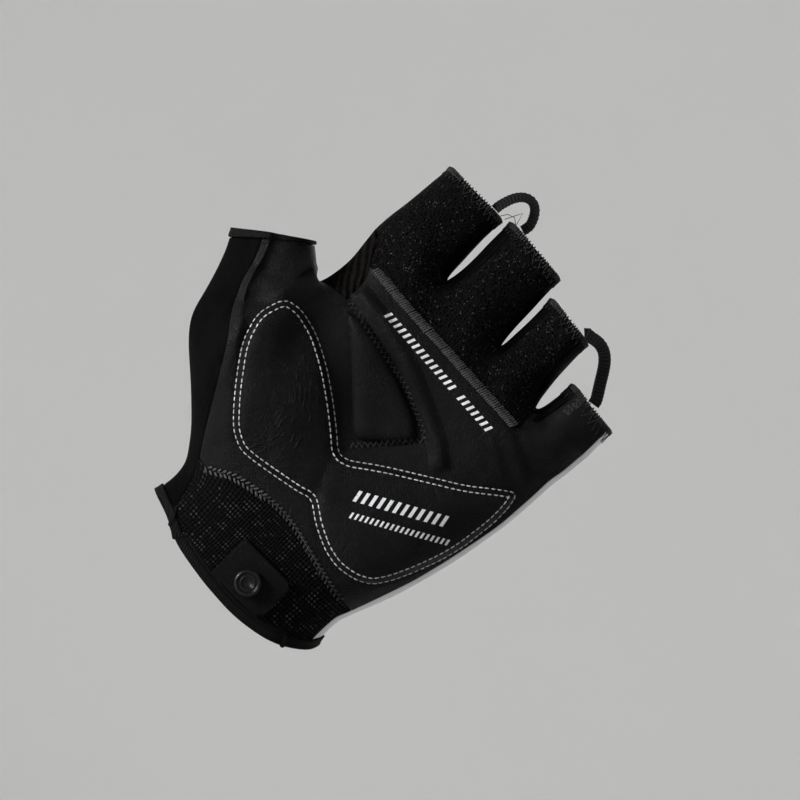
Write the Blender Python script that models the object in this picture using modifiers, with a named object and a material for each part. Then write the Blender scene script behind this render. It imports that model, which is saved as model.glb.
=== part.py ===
"""Fingerless cycling glove for a left hand, in its worn form.

Fingers point along +Z, the palm faces -Y and the thumb points towards -X and up.
The origin is the centre of the wrist opening. All lengths are in metres.
"""
import math

import bmesh
import bpy
from mathutils import Matrix, Vector
from mathutils.bvhtree import BVHTree
from mathutils.geometry import delaunay_2d_cdt

# Driving sizes of the glove's body
palm_breadth = 0.094
palm_length = 0.100
palm_depth = 0.030
wrist_width = 0.068
wrist_depth = 0.042
index_length = 0.0275
middle_length = 0.0270
ring_length = 0.0235
little_length = 0.0140
finger_depth = 0.0215
index_middle_slit = 0.0020
middle_ring_slit = 0.0014
ring_little_slit = 0.0030
thumb_width = 0.0255
thumb_depth = 0.0235
thumb_length = 0.0670
thumb_angle = math.radians(33.2)
thumb_mouth_angle = math.radians(35.2)

# Walls, seams and overlays
leather_wall = 0.0014
knit_wall = 0.0012
back_wall = 0.0012
fourchette_wall = 0.0010
binding_wall = 0.0018
binding_rise = 0.0006
seam_gap = 0.0004
pad_gap = 0.0004
carpal_pad_thickness = 0.0022
palm_pad_thickness = 0.0026
ridge_width = 0.0044
ridge_thickness = 0.0018
pad_edge_thickness = 0.0009
pad_edge_width = 0.0060
outline_step = 0.0040
corner_cut = 0.2

# How near two points of an overlay may come, and how far round it the skin's points are used
net_tolerance = 0.00025
net_reach = 0.0100

# Pull loops, snap tab and snap socket
tape_width = 0.0052
tape_thickness = 0.0013
index_middle_tilt = math.radians(54.0)
ring_little_tilt = math.radians(40.0)
tape_seat_gap = 0.00060
arch_step = 0.0014
arch_rounds = 40
tab_width = 0.0200
tab_height = 0.0146
tab_thickness = 0.0012
tab_gap = 0.0004
socket_diameter = 0.0084
socket_height = 0.0020
socket_bore = 0.0036
socket_recess = 0.0011
socket_gap = 0.00045
socket_steps = 28

# Where the nine front columns stand across the hand, as shares from thumb seam to outer edge
WRIST_COLUMNS = (0.0, 0.13, 0.26, 0.385, 0.51, 0.63, 0.75, 0.87, 0.975)
KNUCKLE_COLUMNS = (0.0, 0.119, 0.254, 0.400, 0.535, 0.6425, 0.767, 0.8855, 0.984)

# One row for each section across the palm. Across the hand, x is a share of the breadth there
# and depths are shares of the depth there, both blended from wrist (spread 0) to palm (spread 1).
# Heights and the arch of the row's middle are shares of the palm length.
SECTION_COLUMNS = ("left_x", "left_z", "seam_x", "seam_z", "right_x", "right_z",
                   "arch", "peak", "power", "spread", "front", "back")
PALM_SECTIONS = {
    "hem": (-0.507, 0.010, -0.387, -0.012, 0.512, 0.030, -0.092, 0.62, 0.5, 0.0, 0.50, 0.46),
    "binding_top": (-0.497, 0.042, -0.390, 0.020, 0.500, 0.062, -0.092, 0.62, 0.5, 0.0, 0.50, 0.46),
    "wrist": (-0.494, 0.115, -0.419, 0.110, 0.503, 0.120, -0.030, 0.5, 1.0, 0.0, 0.50, 0.45),
    "wrist_seam": (-0.510, 0.196, -0.427, 0.187, 0.486, 0.178, 0.066, 0.43, 2.0, 0.25, 0.52, 0.45),
    "heel": (-0.658, 0.380, -0.407, 0.370, 0.514, 0.370, 0.020, 0.5, 1.0, 0.60, 0.55, 0.47),
    "middle": (-0.721, 0.550, -0.400, 0.545, 0.524, 0.545, 0.010, 0.5, 1.0, 0.85, 0.54, 0.47),
    "crease": (-0.660, 0.710, -0.396, 0.705, 0.531, 0.710, 0.000, 0.5, 1.0, 1.00, 0.53, 0.47),
    "web": (-0.472, 0.823, -0.362, 0.850, 0.541, 0.850, 0.004, 0.5, 1.0, 1.00, 0.53, 0.45),
    "knuckle_seam": (-0.450, 0.945, -0.388, 0.972, 0.551, 0.938, -0.006, 0.6, 1.0, 1.00, 0.52, 0.43),
}
THUMB_ROOT_ROWS = ("wrist_seam", "heel", "middle", "crease", "web")
THUMB_OPEN_ROWS = ("heel", "middle", "crease")

# The row through the finger crotches: x as a share of the breadth, z of the palm length,
# front and back of the finger depth
CROTCH_ROW = (
    ("index_outer", -0.428, 1.050, 0.36, 0.30),
    ("index_mid", -0.308, 1.085, 0.66, 0.52),
    ("index_middle", -0.1755, 1.088, 0.36, 0.26),
    ("middle_mid", -0.034, 1.095, 0.68, 0.54),
    ("middle_ring", 0.1010, 1.064, 0.40, 0.28),
    ("ring_mid", 0.208, 1.050, 0.66, 0.52),
    ("ring_little", 0.3270, 1.004, 0.34, 0.24),
    ("little_mid", 0.445, 1.005, 0.60, 0.46),
    ("little_outer", 0.544, 1.010, 0.26, 0.22),
)
CROTCH_SIDES = {"left": (-0.463, 1.070), "right": (0.560, 1.020)}
crotch_rise_share = 0.022
crotch_middle_share = -0.06
crotch_side_share = -0.05
back_arch_share = 0.4

# Roundness of the sections, from 2 for an ellipse to more for a fuller one, and fullness shares
wrist_roundness = 2.1
palm_roundness = 2.7
finger_roundness = 2.4
thumb_roundness = 2.3
side_point_share = 0.3
finger_front_share = 0.52
finger_back_share = 0.48
thumb_front_end = 0.94
thumb_back_ends = (0.12, 0.90)

# Faces that look this far to the front take the folds, and edges sharper than this stay sharp
front_limit = -0.15
sharp_angle = math.radians(50.0)

# Rounds that fit the smooth skin to the cage's points and that even out its normals
fit_rounds = 14
normal_rounds = 2
normal_share = 0.3

# One row for each finger: how far the mouth's left and right side draw in and how far the
# mouth slants, as shares of the finger's width, and its forward lean as a share of the depth
FINGER_COLUMNS = ("narrow_left", "narrow_right", "slant", "lean")
FINGERS = {
    "index": (0.110, 0.000, -0.02, 0.06),
    "middle": (0.000, 0.035, -0.07, 0.08),
    "ring": (0.000, 0.045, -0.11, 0.06),
    "little": (0.060, 0.000, -0.10, 0.02),
}
FINGER_LENGTHS = {"index": index_length, "middle": middle_length,
                  "ring": ring_length, "little": little_length}
FINGER_STATIONS = (0.38, 0.84, 1.0)
FINGER_FRONT_SHARES = {"index": (0.13, 0.50, 0.87), "middle": (0.13, 0.50, 0.92),
                       "ring": (0.11, 0.50, 0.84), "little": (0.14, 0.50, 0.93)}

# One row for each thumb section: share of the way along the outer side and along the inner
# side, bulge of the outer side as a share of the thumb width, place of the leather seam
# across the section, front and back as shares of the thumb depth
THUMB_COLUMNS = ("outer", "inner", "bulge", "seam", "front", "back")
THUMB_SECTIONS = {
    "ball": (0.21, 0.24, 0.09, 0.27, 1.04, 0.66),
    "base": (0.40, 0.42, 0.21, 0.33, 0.98, 0.58),
    "knuckle": (0.58, 0.60, 0.25, 0.35, 0.86, 0.46),
    "shaft": (0.78, 0.78, 0.09, 0.37, 0.76, 0.36),
    "binding_edge": (0.955, 0.91, 0.01, 0.385, 0.72, 0.29),
    "mouth": (1.00, 1.00, 0.00, 0.385, 0.72, 0.28),
}

# Swellings of the palm's front: centre and reach as shares of breadth and palm length,
# height as a share of the palm depth
MOUND_COLUMNS = ("x", "z", "reach_x", "reach_z", "height")
MOUNDS = {
    "thenar": (-0.42, 0.47, 0.20, 0.25, 0.26),
    "hypothenar": (0.30, 0.40, 0.20, 0.28, 0.15),
    "palm_hollow": (0.02, 0.62, 0.20, 0.18, -0.10),
    "index_root": (-0.24, 0.86, 0.14, 0.10, 0.04),
    "little_root": (0.38, 0.80, 0.14, 0.12, 0.05),
}

# Creases and dents pressed into the smooth skin: two ends, half width and depth,
# as shares of breadth, palm length and palm depth
FOLD_COLUMNS = ("x1", "z1", "x2", "z2", "half_width", "depth")
FOLDS = {
    "little_root_upper": (0.34, 0.93, 0.50, 0.885, 0.030, 0.035),
    "little_root_lower": (0.33, 0.87, 0.46, 0.82, 0.030, 0.025),
    "thumb_dent": (-0.60, 0.62, -0.52, 0.70, 0.050, 0.040),
    "thumb_crease": (-0.50, 0.80, -0.62, 0.72, 0.030, 0.025),
    "middle_root": (-0.12, 1.00, 0.08, 0.985, 0.030, 0.030),
    "ring_root": (0.12, 0.97, 0.30, 0.95, 0.030, 0.030),
    "index_root": (-0.38, 1.02, -0.20, 1.00, 0.030, 0.025),
}

# Outlines of the overlays, as shares of breadth and palm length
CARPAL_PAD_OUTLINE = (
    (-0.505, 0.715), (-0.533, 0.625), (-0.503, 0.530), (-0.410, 0.410), (-0.325, 0.322),
    (-0.262, 0.292), (-0.195, 0.297), (-0.030, 0.325), (0.015, 0.340), (0.085, 0.293),
    (0.165, 0.258), (0.230, 0.247), (0.300, 0.257), (0.352, 0.282), (0.392, 0.335),
    (0.425, 0.405), (0.458, 0.485), (0.480, 0.560), (0.496, 0.680), (0.494, 0.755),
    (0.478, 0.798), (0.425, 0.765), (0.342, 0.702), (0.247, 0.648), (0.104, 0.565),
    (-0.013, 0.485), (-0.088, 0.546), (-0.169, 0.605), (-0.253, 0.659), (-0.348, 0.706),
    (-0.440, 0.728),
)
PALM_PAD_OUTLINE = (
    (-0.333, 0.808), (-0.272, 0.782), (-0.195, 0.728), (-0.128, 0.666), (-0.028, 0.576),
    (0.050, 0.628), (0.114, 0.684), (0.062, 0.728), (-0.053, 0.769), (-0.180, 0.811),
    (-0.275, 0.823),
)
RIDGE_ENDS = ((-0.350, 0.889), (0.240, 0.715))
TAB_CENTRE = (0.064, 0.040)
SOCKET_CENTRE = (0.060, 0.024)

# Outer side of the socket, as shares of its radius and height, and the widening of its bore
SOCKET_SHOULDER = ((0.80, 1.0), (0.96, 0.72), (1.0, 0.30), (1.0, 0.0))
bore_flare = 1.12

# Routes of the pull loops above their seats, as shares of breadth and palm length
LOOP_INDEX_MIDDLE = (
    ("index", 0.83), ((-0.226, 1.385), (-0.216, 1.422), (-0.196, 1.452), (-0.166, 1.466),
                      (-0.137, 1.456), (-0.117, 1.428), (-0.106, 1.395)), ("middle", 0.20),
)
LOOP_RING_LITTLE = (
    ("ring", 0.82), ((0.283, 1.290), (0.312, 1.303), (0.350, 1.296), (0.381, 1.271),
                     (0.407, 1.230), (0.433, 1.190)), ("little", 0.46),
)

# Panels of the skin, with wall thickness, colour, roughness
PANELS = {
    "palm_leather": (leather_wall, (0.022, 0.022, 0.024), 0.42),
    "finger_mesh": (knit_wall, (0.016, 0.016, 0.017), 0.85),
    "wrist_mesh": (knit_wall, (0.014, 0.014, 0.015), 0.85),
    "back_panel": (back_wall, (0.72, 0.73, 0.74), 0.80),
    "thumb_panel": (knit_wall, (0.010, 0.010, 0.011), 0.80),
    "web_gusset": (knit_wall, (0.018, 0.015, 0.014), 0.85),
    "fourchette_index_middle": (fourchette_wall, (0.013, 0.013, 0.014), 0.80),
    "fourchette_middle_ring": (fourchette_wall, (0.013, 0.013, 0.014), 0.80),
    "fourchette_ring_little": (fourchette_wall, (0.013, 0.013, 0.014), 0.80),
    "wrist_binding": (binding_wall, (0.010, 0.010, 0.011), 0.75),
    "thumb_binding": (binding_wall, (0.010, 0.010, 0.011), 0.75),
}
PANEL_NAMES = tuple(PANELS)
RAISED_PANELS = ("wrist_binding", "thumb_binding")
OVERLAY_COLOUR = (0.024, 0.024, 0.026)
FINGER_NAMES = tuple(FINGERS)


def blend(first, second, share):
    """Value a share of the way from first to second."""
    return first + (second - first) * share


def named(columns, row):
    """Row of a table as a dictionary with its column names."""
    return dict(zip(columns, row))


def at(x_share, z_share):
    """Point in the palm's plane from shares of breadth and palm length."""
    return x_share * palm_breadth, z_share * palm_length


def rounded(share, power):
    """Depth of a rounded section, 0 at its sides and 1 at its middle."""
    edge = min(1.0, abs(2.0 * share - 1.0))
    return (1.0 - edge ** power) ** (1.0 / power)


def mound_height(x, z):
    """Sum of the palm's swellings at one point."""
    total = 0.0
    for row in MOUNDS.values():
        mound = named(MOUND_COLUMNS, row)
        along_x = (x / palm_breadth - mound["x"]) / mound["reach_x"]
        along_z = (z / palm_length - mound["z"]) / mound["reach_z"]
        total += mound["height"] * palm_depth * math.exp(-along_x ** 2 - along_z ** 2)
    return total


def palm_row(section):
    """Front, back and side points of one section across the palm."""
    breadth = blend(wrist_width, palm_breadth, section["spread"])
    depth = blend(wrist_depth, palm_depth, section["spread"])
    left = section["left_x"] * breadth
    seam = section["seam_x"] * breadth
    right = section["right_x"] * breadth
    shape = blend(wrist_roundness, palm_roundness, section["spread"])
    front, back = [], []
    for wrist_share, knuckle_share in zip(WRIST_COLUMNS, KNUCKLE_COLUMNS):
        share = blend(wrist_share, knuckle_share, section["spread"])
        x = blend(seam, right, share)
        skewed = share ** (math.log(0.5) / math.log(section["peak"]))
        arch = section["arch"] * max(0.0, math.sin(math.pi * skewed)) ** section["power"]
        z = (blend(section["seam_z"], section["right_z"], share) + arch) * palm_length
        across = (x - left) / (right - left)
        fullness = rounded(across, shape)
        front.append(Vector((x, -section["front"] * depth * fullness - mound_height(x, z) * fullness, z)))
        back_z = z - (1.0 - back_arch_share) * arch * palm_length
        back.append(Vector((x, section["back"] * depth * fullness, back_z)))
    side_y = side_point_share * (section["back"] - section["front"]) * depth
    left_side = Vector((left, side_y, section["left_z"] * palm_length))
    right_side = Vector((right, side_y, section["right_z"] * palm_length))
    return front, back, left_side, right_side


class Cage:
    """Coarse cage of the glove's skin, with a panel name for each face."""

    def __init__(self):
        self.points = []
        self.faces = []
        self.panels = []

    def add(self, point):
        self.points.append(Vector(point))
        return len(self.points) - 1

    def band(self, lower, upper, panels):
        """Faces between two open or closed rows of point numbers."""
        for step, panel in enumerate(panels):
            after = (step + 1) % len(lower)
            self.faces.append((lower[step], lower[after], upper[after], upper[step]))
            self.panels.append(PANEL_NAMES.index(panel))


def crotch_row(cage):
    """Points of the row through the finger crotches."""
    front, back, middles = [], [], {}
    for name, x_share, z_share, front_share, back_share in CROTCH_ROW:
        x, z = at(x_share, z_share)
        front.append(cage.add((x, -front_share * finger_depth, z)))
        back.append(cage.add((x, back_share * finger_depth, z)))
        if name in ("index_middle", "middle_ring", "ring_little"):
            middles[name] = cage.add((x, crotch_middle_share * finger_depth,
                                      z + crotch_rise_share * palm_length))
    sides = {}
    for side, shares in CROTCH_SIDES.items():
        x, z = at(*shares)
        sides[side] = cage.add((x, crotch_side_share * finger_depth, z))
    return front, back, middles, sides


def finger_limits(name):
    """Left and right side of one finger between its slits, from the crotch row."""
    places = {row[0]: row[1] * palm_breadth for row in CROTCH_ROW}
    slits = {"index_middle": index_middle_slit, "middle_ring": middle_ring_slit,
             "ring_little": ring_little_slit}
    limits = {
        "index": (CROTCH_SIDES["left"][0] * palm_breadth,
                  places["index_middle"] - slits["index_middle"] / 2),
        "middle": (places["index_middle"] + slits["index_middle"] / 2,
                   places["middle_ring"] - slits["middle_ring"] / 2),
        "ring": (places["middle_ring"] + slits["middle_ring"] / 2,
                 places["ring_little"] - slits["ring_little"] / 2),
        "little": (places["ring_little"] + slits["ring_little"] / 2,
                   CROTCH_SIDES["right"][0] * palm_breadth),
    }
    return limits[name]


def finger_rim(name, share, station=1.0):
    """Point in the palm's plane across one finger at a station of its length."""
    row = named(FINGER_COLUMNS, FINGERS[name])
    left, right = finger_limits(name)
    width = right - left
    left += row["narrow_left"] * width * station
    right -= row["narrow_right"] * width * station
    number = 2 * FINGER_NAMES.index(name) + 1
    base_z = CROTCH_ROW[number][2] * palm_length
    slant = row["slant"] * width * (share - 0.5)
    return blend(left, right, share), base_z + FINGER_LENGTHS[name] * station + slant


def finger_ring(cage, name, station):
    """Eight points around one finger: left side, three in front, right side, three behind."""
    row = named(FINGER_COLUMNS, FINGERS[name])
    lean = -row["lean"] * finger_depth * station
    shares = FINGER_FRONT_SHARES[name]
    front, back = [], []
    for share in shares:
        x, z = finger_rim(name, share, station)
        depth = finger_depth * rounded(share, finger_roundness)
        front.append(cage.add((x, lean - finger_front_share * depth, z)))
        back.append(cage.add((x, lean + finger_back_share * depth, z)))
    x, z = finger_rim(name, 0.0, station)
    left = cage.add((x, lean, z))
    x, z = finger_rim(name, 1.0, station)
    right = cage.add((x, lean, z))
    return [left] + front + [right] + back[::-1]


def add_fingers(cage, front, back, middles, sides):
    """Four open tubes that leave the crotch row."""
    left_sides = [sides["left"], middles["index_middle"], middles["middle_ring"], middles["ring_little"]]
    right_sides = left_sides[1:] + [sides["right"]]
    gussets = ["fourchette_index_middle", "fourchette_middle_ring", "fourchette_ring_little"]
    for number, name in enumerate(FINGER_NAMES):
        first = 2 * number
        ring = [left_sides[number]] + front[first:first + 3] + [right_sides[number]]
        ring += back[first:first + 3][::-1]
        skin = "palm_leather" if name == "little" else "finger_mesh"
        left_panel = gussets[number - 1] if number else None
        right_panel = gussets[number] if number < 3 else "back_panel"
        panels = [left_panel or skin, skin, skin, right_panel,
                  right_panel, "back_panel", "back_panel", left_panel or "back_panel"]
        for station in FINGER_STATIONS:
            upper = finger_ring(cage, name, station)
            cage.band(ring, upper, panels)
            ring = upper


def thumb_paths():
    """Outer and inner ends of the thumb's root and of its mouth, in the palm's plane."""
    root = named(SECTION_COLUMNS, PALM_SECTIONS["wrist_seam"])
    breadth = blend(wrist_width, palm_breadth, root["spread"])
    outer_root = Vector((root["left_x"] * breadth, root["left_z"] * palm_length))
    inner_root = Vector(at(PALM_SECTIONS["web"][0], PALM_SECTIONS["web"][1]))
    along = Vector((-math.sin(thumb_angle), math.cos(thumb_angle)))
    outer_mouth = outer_root + along * thumb_length
    across = Vector((math.cos(thumb_mouth_angle), math.sin(thumb_mouth_angle)))
    inner_mouth = outer_mouth + across * thumb_width
    return outer_root, outer_mouth, inner_root, inner_mouth


def thumb_ring(cage, row):
    """Twelve points around the thumb: outer side, five in front, inner side, five behind."""
    section = named(THUMB_COLUMNS, row)
    outer_root, outer_mouth, inner_root, inner_mouth = thumb_paths()
    outwards = Vector((-math.cos(thumb_angle), -math.sin(thumb_angle)))
    outer = outer_root.lerp(outer_mouth, section["outer"]) + outwards * section["bulge"] * thumb_width
    inner = inner_root.lerp(inner_mouth, section["inner"])
    front_y = -section["front"] * thumb_depth
    back_y = section["back"] * thumb_depth
    middle = 0.5 * (front_y + back_y)
    front, back = [], []
    for step in range(5):
        for points, first, last, depth_y in ((front, section["seam"], thumb_front_end, front_y),
                                             (back, *thumb_back_ends, back_y)):
            share = blend(first, last, step / 4)
            place = outer.lerp(inner, share)
            depth = (depth_y - middle) * rounded(share, thumb_roundness)
            points.append(cage.add((place.x, middle + depth, place.y)))
    outer_side = cage.add((outer.x, middle, outer.y))
    inner_side = cage.add((inner.x, middle, inner.y))
    return [outer_side] + front + [inner_side] + back[::-1]


def add_thumb(cage, root):
    """Open tube that leaves the thumb's root."""
    panels = ["thumb_panel"] + ["palm_leather"] * 5 + ["thumb_panel"] * 6
    ring = root
    for name, row in THUMB_SECTIONS.items():
        upper = thumb_ring(cage, row)
        band = ["thumb_binding"] * 12 if name == "mouth" else panels
        cage.band(ring, upper, band)
        ring = upper


def palm_panels(lower_name, upper_name):
    """Panel names around one band of the palm: left front, eight fronts, right, then the back."""
    if lower_name == "hem":
        return ["wrist_binding"] * 20
    side, skin, lower_back = "thumb_panel", ["palm_leather"] * 8, "thumb_panel"
    if lower_name in ("binding_top", "wrist"):
        skin = ["wrist_mesh"] * 8
    if lower_name in ("web", "knuckle_seam"):
        side, lower_back = "web_gusset", "web_gusset"
    if lower_name == "knuckle_seam":
        skin = ["finger_mesh"] * 6 + ["palm_leather"] * 2
    return [side] + skin + ["back_panel"] * 10 + [lower_back]


def build_cage():
    """Whole cage: palm rows, the crotch row, the fingers and the thumb."""
    cage = Cage()
    rings, rows = {}, {}
    for name, row in PALM_SECTIONS.items():
        front, back, left, right = palm_row(named(SECTION_COLUMNS, row))
        front = [cage.add(point) for point in front]
        back = [cage.add(point) for point in back]
        left = None if name in THUMB_OPEN_ROWS else cage.add(left)
        rows[name] = (front, back, left)
        rings[name] = [left] + front + [cage.add(right)] + back[::-1]
    front, back, middles, sides = crotch_row(cage)
    rings["crotch"] = [sides["left"]] + front + [sides["right"]] + back[::-1]
    names = list(rings)
    for lower_name, upper_name in zip(names, names[1:]):
        panels = palm_panels(lower_name, upper_name)
        lower, upper = rings[lower_name], rings[upper_name]
        if lower_name in THUMB_OPEN_ROWS or upper_name in THUMB_OPEN_ROWS:
            cage.band(lower[1:], upper[1:], panels[1:19])
        else:
            cage.band(lower, upper, panels)
    root = [rings["wrist_seam"][0]] + [rows[name][0][0] for name in THUMB_ROOT_ROWS]
    root += [rings["web"][0]] + [rows[name][1][0] for name in THUMB_ROOT_ROWS[::-1]]
    add_thumb(cage, root)
    add_fingers(cage, front, back, middles, sides)
    return cage


def evaluated_mesh(obj):
    """Mesh of an object with its modifiers applied."""
    graph = bpy.context.evaluated_depsgraph_get()
    graph.update()
    return bpy.data.meshes.new_from_object(obj.evaluated_get(graph))


def smooth_skin(cage, guides):
    """Subdivided skin that passes through the cage's points, as triangles with panel numbers."""
    mesh = bpy.data.meshes.new("skin_cage")
    mesh.from_pydata([point.copy() for point in cage.points], [], cage.faces)
    for polygon, panel in zip(mesh.polygons, cage.panels):
        polygon.material_index = panel
    for name in PANEL_NAMES:
        mesh.materials.append(None)
    obj = bpy.data.objects.new("skin_cage", mesh)
    guides.objects.link(obj)
    modifier = obj.modifiers.new("smooth", "SUBSURF")
    modifier.levels = 1
    modifier.render_levels = 1
    for _ in range(fit_rounds):
        fitted = evaluated_mesh(obj)
        for vertex, target in zip(mesh.vertices, cage.points):
            vertex.co += target - fitted.vertices[vertex.index].co
        bpy.data.meshes.remove(fitted)
        mesh.update()
    skin = evaluated_mesh(obj)
    bpy.data.objects.remove(obj)
    return skin


def press_folds(skin):
    """Creases and dents, pressed into the skin along its normals."""
    normals = [vertex.normal.copy() for vertex in skin.vertices]
    for vertex, normal in zip(skin.vertices, normals):
        if normal.y > front_limit:
            continue
        place = Vector((vertex.co.x, vertex.co.z))
        depth = 0.0
        for row in FOLDS.values():
            fold = named(FOLD_COLUMNS, row)
            start = Vector(at(fold["x1"], fold["z1"]))
            end = Vector(at(fold["x2"], fold["z2"]))
            along = end - start
            share = min(1.0, max(0.0, (place - start).dot(along) / along.length_squared))
            distance = (place - start - along * share).length / (fold["half_width"] * palm_breadth)
            depth += fold["depth"] * palm_depth * math.exp(-distance ** 2)
        vertex.co -= normal * depth
    skin.update()


class Skin:
    """Triangulated outer surface of the whole glove, with normals, panels and a search tree."""

    def __init__(self, mesh):
        bm = bmesh.new()
        bm.from_mesh(mesh)
        bmesh.ops.triangulate(bm, faces=bm.faces[:], quad_method="SHORT_EDGE")
        bmesh.ops.recalc_face_normals(bm, faces=bm.faces[:])
        bm.normal_update()
        self.points = [vertex.co.copy() for vertex in bm.verts]
        self.normals = [vertex.normal.copy() for vertex in bm.verts]
        self.triangles = [tuple(vertex.index for vertex in face.verts) for face in bm.faces]
        self.panels = [face.material_index for face in bm.faces]
        self.owners = {}
        for face in bm.faces:
            for edge in face.edges:
                key = frozenset(vertex.index for vertex in edge.verts)
                self.owners.setdefault(key, []).append(face.index)
        for _ in range(normal_rounds):
            sums = [normal.copy() for normal in self.normals]
            for edge in bm.edges:
                first, second = (vertex.index for vertex in edge.verts)
                sums[first] += self.normals[second] * normal_share
                sums[second] += self.normals[first] * normal_share
            self.normals = [total.normalized() for total in sums]
        bm.free()
        self.tree = BVHTree.FromPolygons(self.points, self.triangles)

    def front_net(self, outline):
        """Places and edges of the front's triangles near an outline, in the palm's plane."""
        low = [min(place[axis] for place in outline) - net_reach for axis in (0, 1)]
        high = [max(place[axis] for place in outline) + net_reach for axis in (0, 1)]
        used, edges = {}, set()
        for triangle in self.triangles:
            corners = [self.points[corner] for corner in triangle]
            normal = (corners[1] - corners[0]).cross(corners[2] - corners[0])
            centre = sum(corners, Vector()) / 3
            near = low[0] < centre.x < high[0] and low[1] < centre.z < high[1]
            if normal.y < 0.0 and near:
                for corner in triangle:
                    used.setdefault(corner, len(used))
                for step in range(3):
                    pair = (used[triangle[step]], used[triangle[(step + 1) % 3]])
                    edges.add((min(pair), max(pair)))
        places = [Vector((self.points[corner].x, self.points[corner].z)) for corner in used]
        return places, sorted(edges)

    def drape(self, x, z):
        """Point and smooth normal on the palm's front at one place in its plane."""
        start = Vector((x, -palm_breadth, z))
        point, flat_normal, number, _ = self.tree.ray_cast(start, Vector((0.0, 1.0, 0.0)))
        if point is None:
            start, _, number, _ = self.tree.find_nearest(Vector((x, -0.5 * palm_depth, z)))
            point = start
        corners = self.triangles[number]
        weights = corner_weights(point, [self.points[corner] for corner in corners])
        normal = Vector()
        for weight, corner in zip(weights, corners):
            normal += self.normals[corner] * weight
        return point, normal.normalized()


def corner_weights(point, corners):
    """Share of each corner of a triangle at a point in it."""
    first, second, third = corners
    whole = (second - first).cross(third - first)
    size = whole.length_squared
    second_share = (point - first).cross(third - first).dot(whole) / size
    third_share = (second - first).cross(point - first).dot(whole) / size
    return 1.0 - second_share - third_share, second_share, third_share


def inward_shifts(skin, numbers):
    """Small shift into the panel for each point that lies on a seam with another panel."""
    inside = set(numbers)
    ways = {}
    for number in numbers:
        triangle = skin.triangles[number]
        for step in range(3):
            first, second, third = (triangle[(step + turn) % 3] for turn in range(3))
            faces = skin.owners[frozenset((first, second))]
            if all(face in inside for face in faces) or len(faces) < 2:
                continue
            along = (skin.points[second] - skin.points[first]).normalized()
            way = skin.points[third] - skin.points[first]
            way = (way - along * way.dot(along)).normalized()
            for corner in (first, second):
                ways.setdefault(corner, []).append(way)
    shifts = {}
    for corner, found in ways.items():
        middle = sum(found, Vector()).normalized()
        shifts[corner] = middle * 0.5 * seam_gap / max(0.5, middle.dot(found[0]))
    return shifts


def make_material(name, colour, roughness, metallic=0.0):
    """Plain surface material with a Principled shader."""
    material = bpy.data.materials.new(name)
    material.use_nodes = True
    shader = material.node_tree.nodes["Principled BSDF"]
    shader.inputs["Base Color"].default_value = (*colour, 1.0)
    shader.inputs["Roughness"].default_value = roughness
    shader.inputs["Metallic"].default_value = metallic
    material.diffuse_color = (*colour, 1.0)
    return material


def finish(name, bm, parts, material):
    """Object from a closed mesh, in the glove's collection and with its material."""
    bmesh.ops.recalc_face_normals(bm, faces=bm.faces[:])
    mesh = bpy.data.meshes.new(name)
    bm.to_mesh(mesh)
    bm.free()
    mesh.materials.clear()
    mesh.materials.append(material)
    for polygon in mesh.polygons:
        polygon.material_index = 0
    mesh.shade_smooth()
    mesh.set_sharp_from_angle(angle=sharp_angle)
    obj = bpy.data.objects.new(name, mesh)
    parts.objects.link(obj)
    return obj


def thicken(bm, moves):
    """Closed solid from an open sheet: a copy of its faces, moved, and walls round its edge."""
    layer = bm.verts.layers.float_vector.new("move")
    for vertex, move in zip(bm.verts, moves):
        vertex[layer] = move
    grown = bmesh.ops.extrude_face_region(bm, geom=bm.faces[:], use_keep_orig=True)
    for item in grown["geom"]:
        if isinstance(item, bmesh.types.BMVert):
            item.co += item[layer]
    bm.verts.layers.float_vector.remove(layer)


def add_panel(skin, name, parts):
    """One panel of the skin as a wall of its own, with a narrow gap to its neighbours."""
    wall, colour, roughness = PANELS[name]
    rise = binding_rise if name in RAISED_PANELS else 0.0
    index = PANEL_NAMES.index(name)
    numbers = [number for number, panel in enumerate(skin.panels) if panel == index]
    shifts = inward_shifts(skin, numbers)
    bm = bmesh.new()
    made, moves = {}, []
    for number in numbers:
        for corner in skin.triangles[number]:
            if corner not in made:
                place = skin.points[corner] + shifts.get(corner, Vector())
                made[corner] = bm.verts.new(place + skin.normals[corner] * rise)
                moves.append(-skin.normals[corner] * (wall + rise))
        bm.faces.new([made[corner] for corner in skin.triangles[number]])
    thicken(bm, moves)
    finish(name, bm, parts, make_material(name, colour, roughness))


def softened(points, rounds=2):
    """Closed outline with its corners cut, twice by default."""
    for _ in range(rounds):
        cut = []
        for first, second in zip(points, points[1:] + points[:1]):
            cut.append(first.lerp(second, corner_cut))
            cut.append(first.lerp(second, 1.0 - corner_cut))
        points = cut
    return points


def resampled(points, step):
    """Closed outline with points at even steps."""
    loop = points + points[:1]
    lengths = [(second - first).length for first, second in zip(loop, loop[1:])]
    count = max(8, round(sum(lengths) / step))
    spacing = sum(lengths) / count
    result, travelled, number = [], 0.0, 0
    for index in range(count):
        goal = index * spacing
        while travelled + lengths[number] < goal:
            travelled += lengths[number]
            number += 1
        share = (goal - travelled) / lengths[number]
        result.append(loop[number].lerp(loop[number + 1], share))
    return result


def edge_distance(place, outline):
    """Distance from a place to the nearest side of a closed outline."""
    nearest = math.inf
    for first, second in zip(outline, outline[1:] + outline[:1]):
        along = second - first
        share = min(1.0, max(0.0, (place - first).dot(along) / along.length_squared))
        nearest = min(nearest, (place - first - along * share).length)
    return nearest


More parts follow.
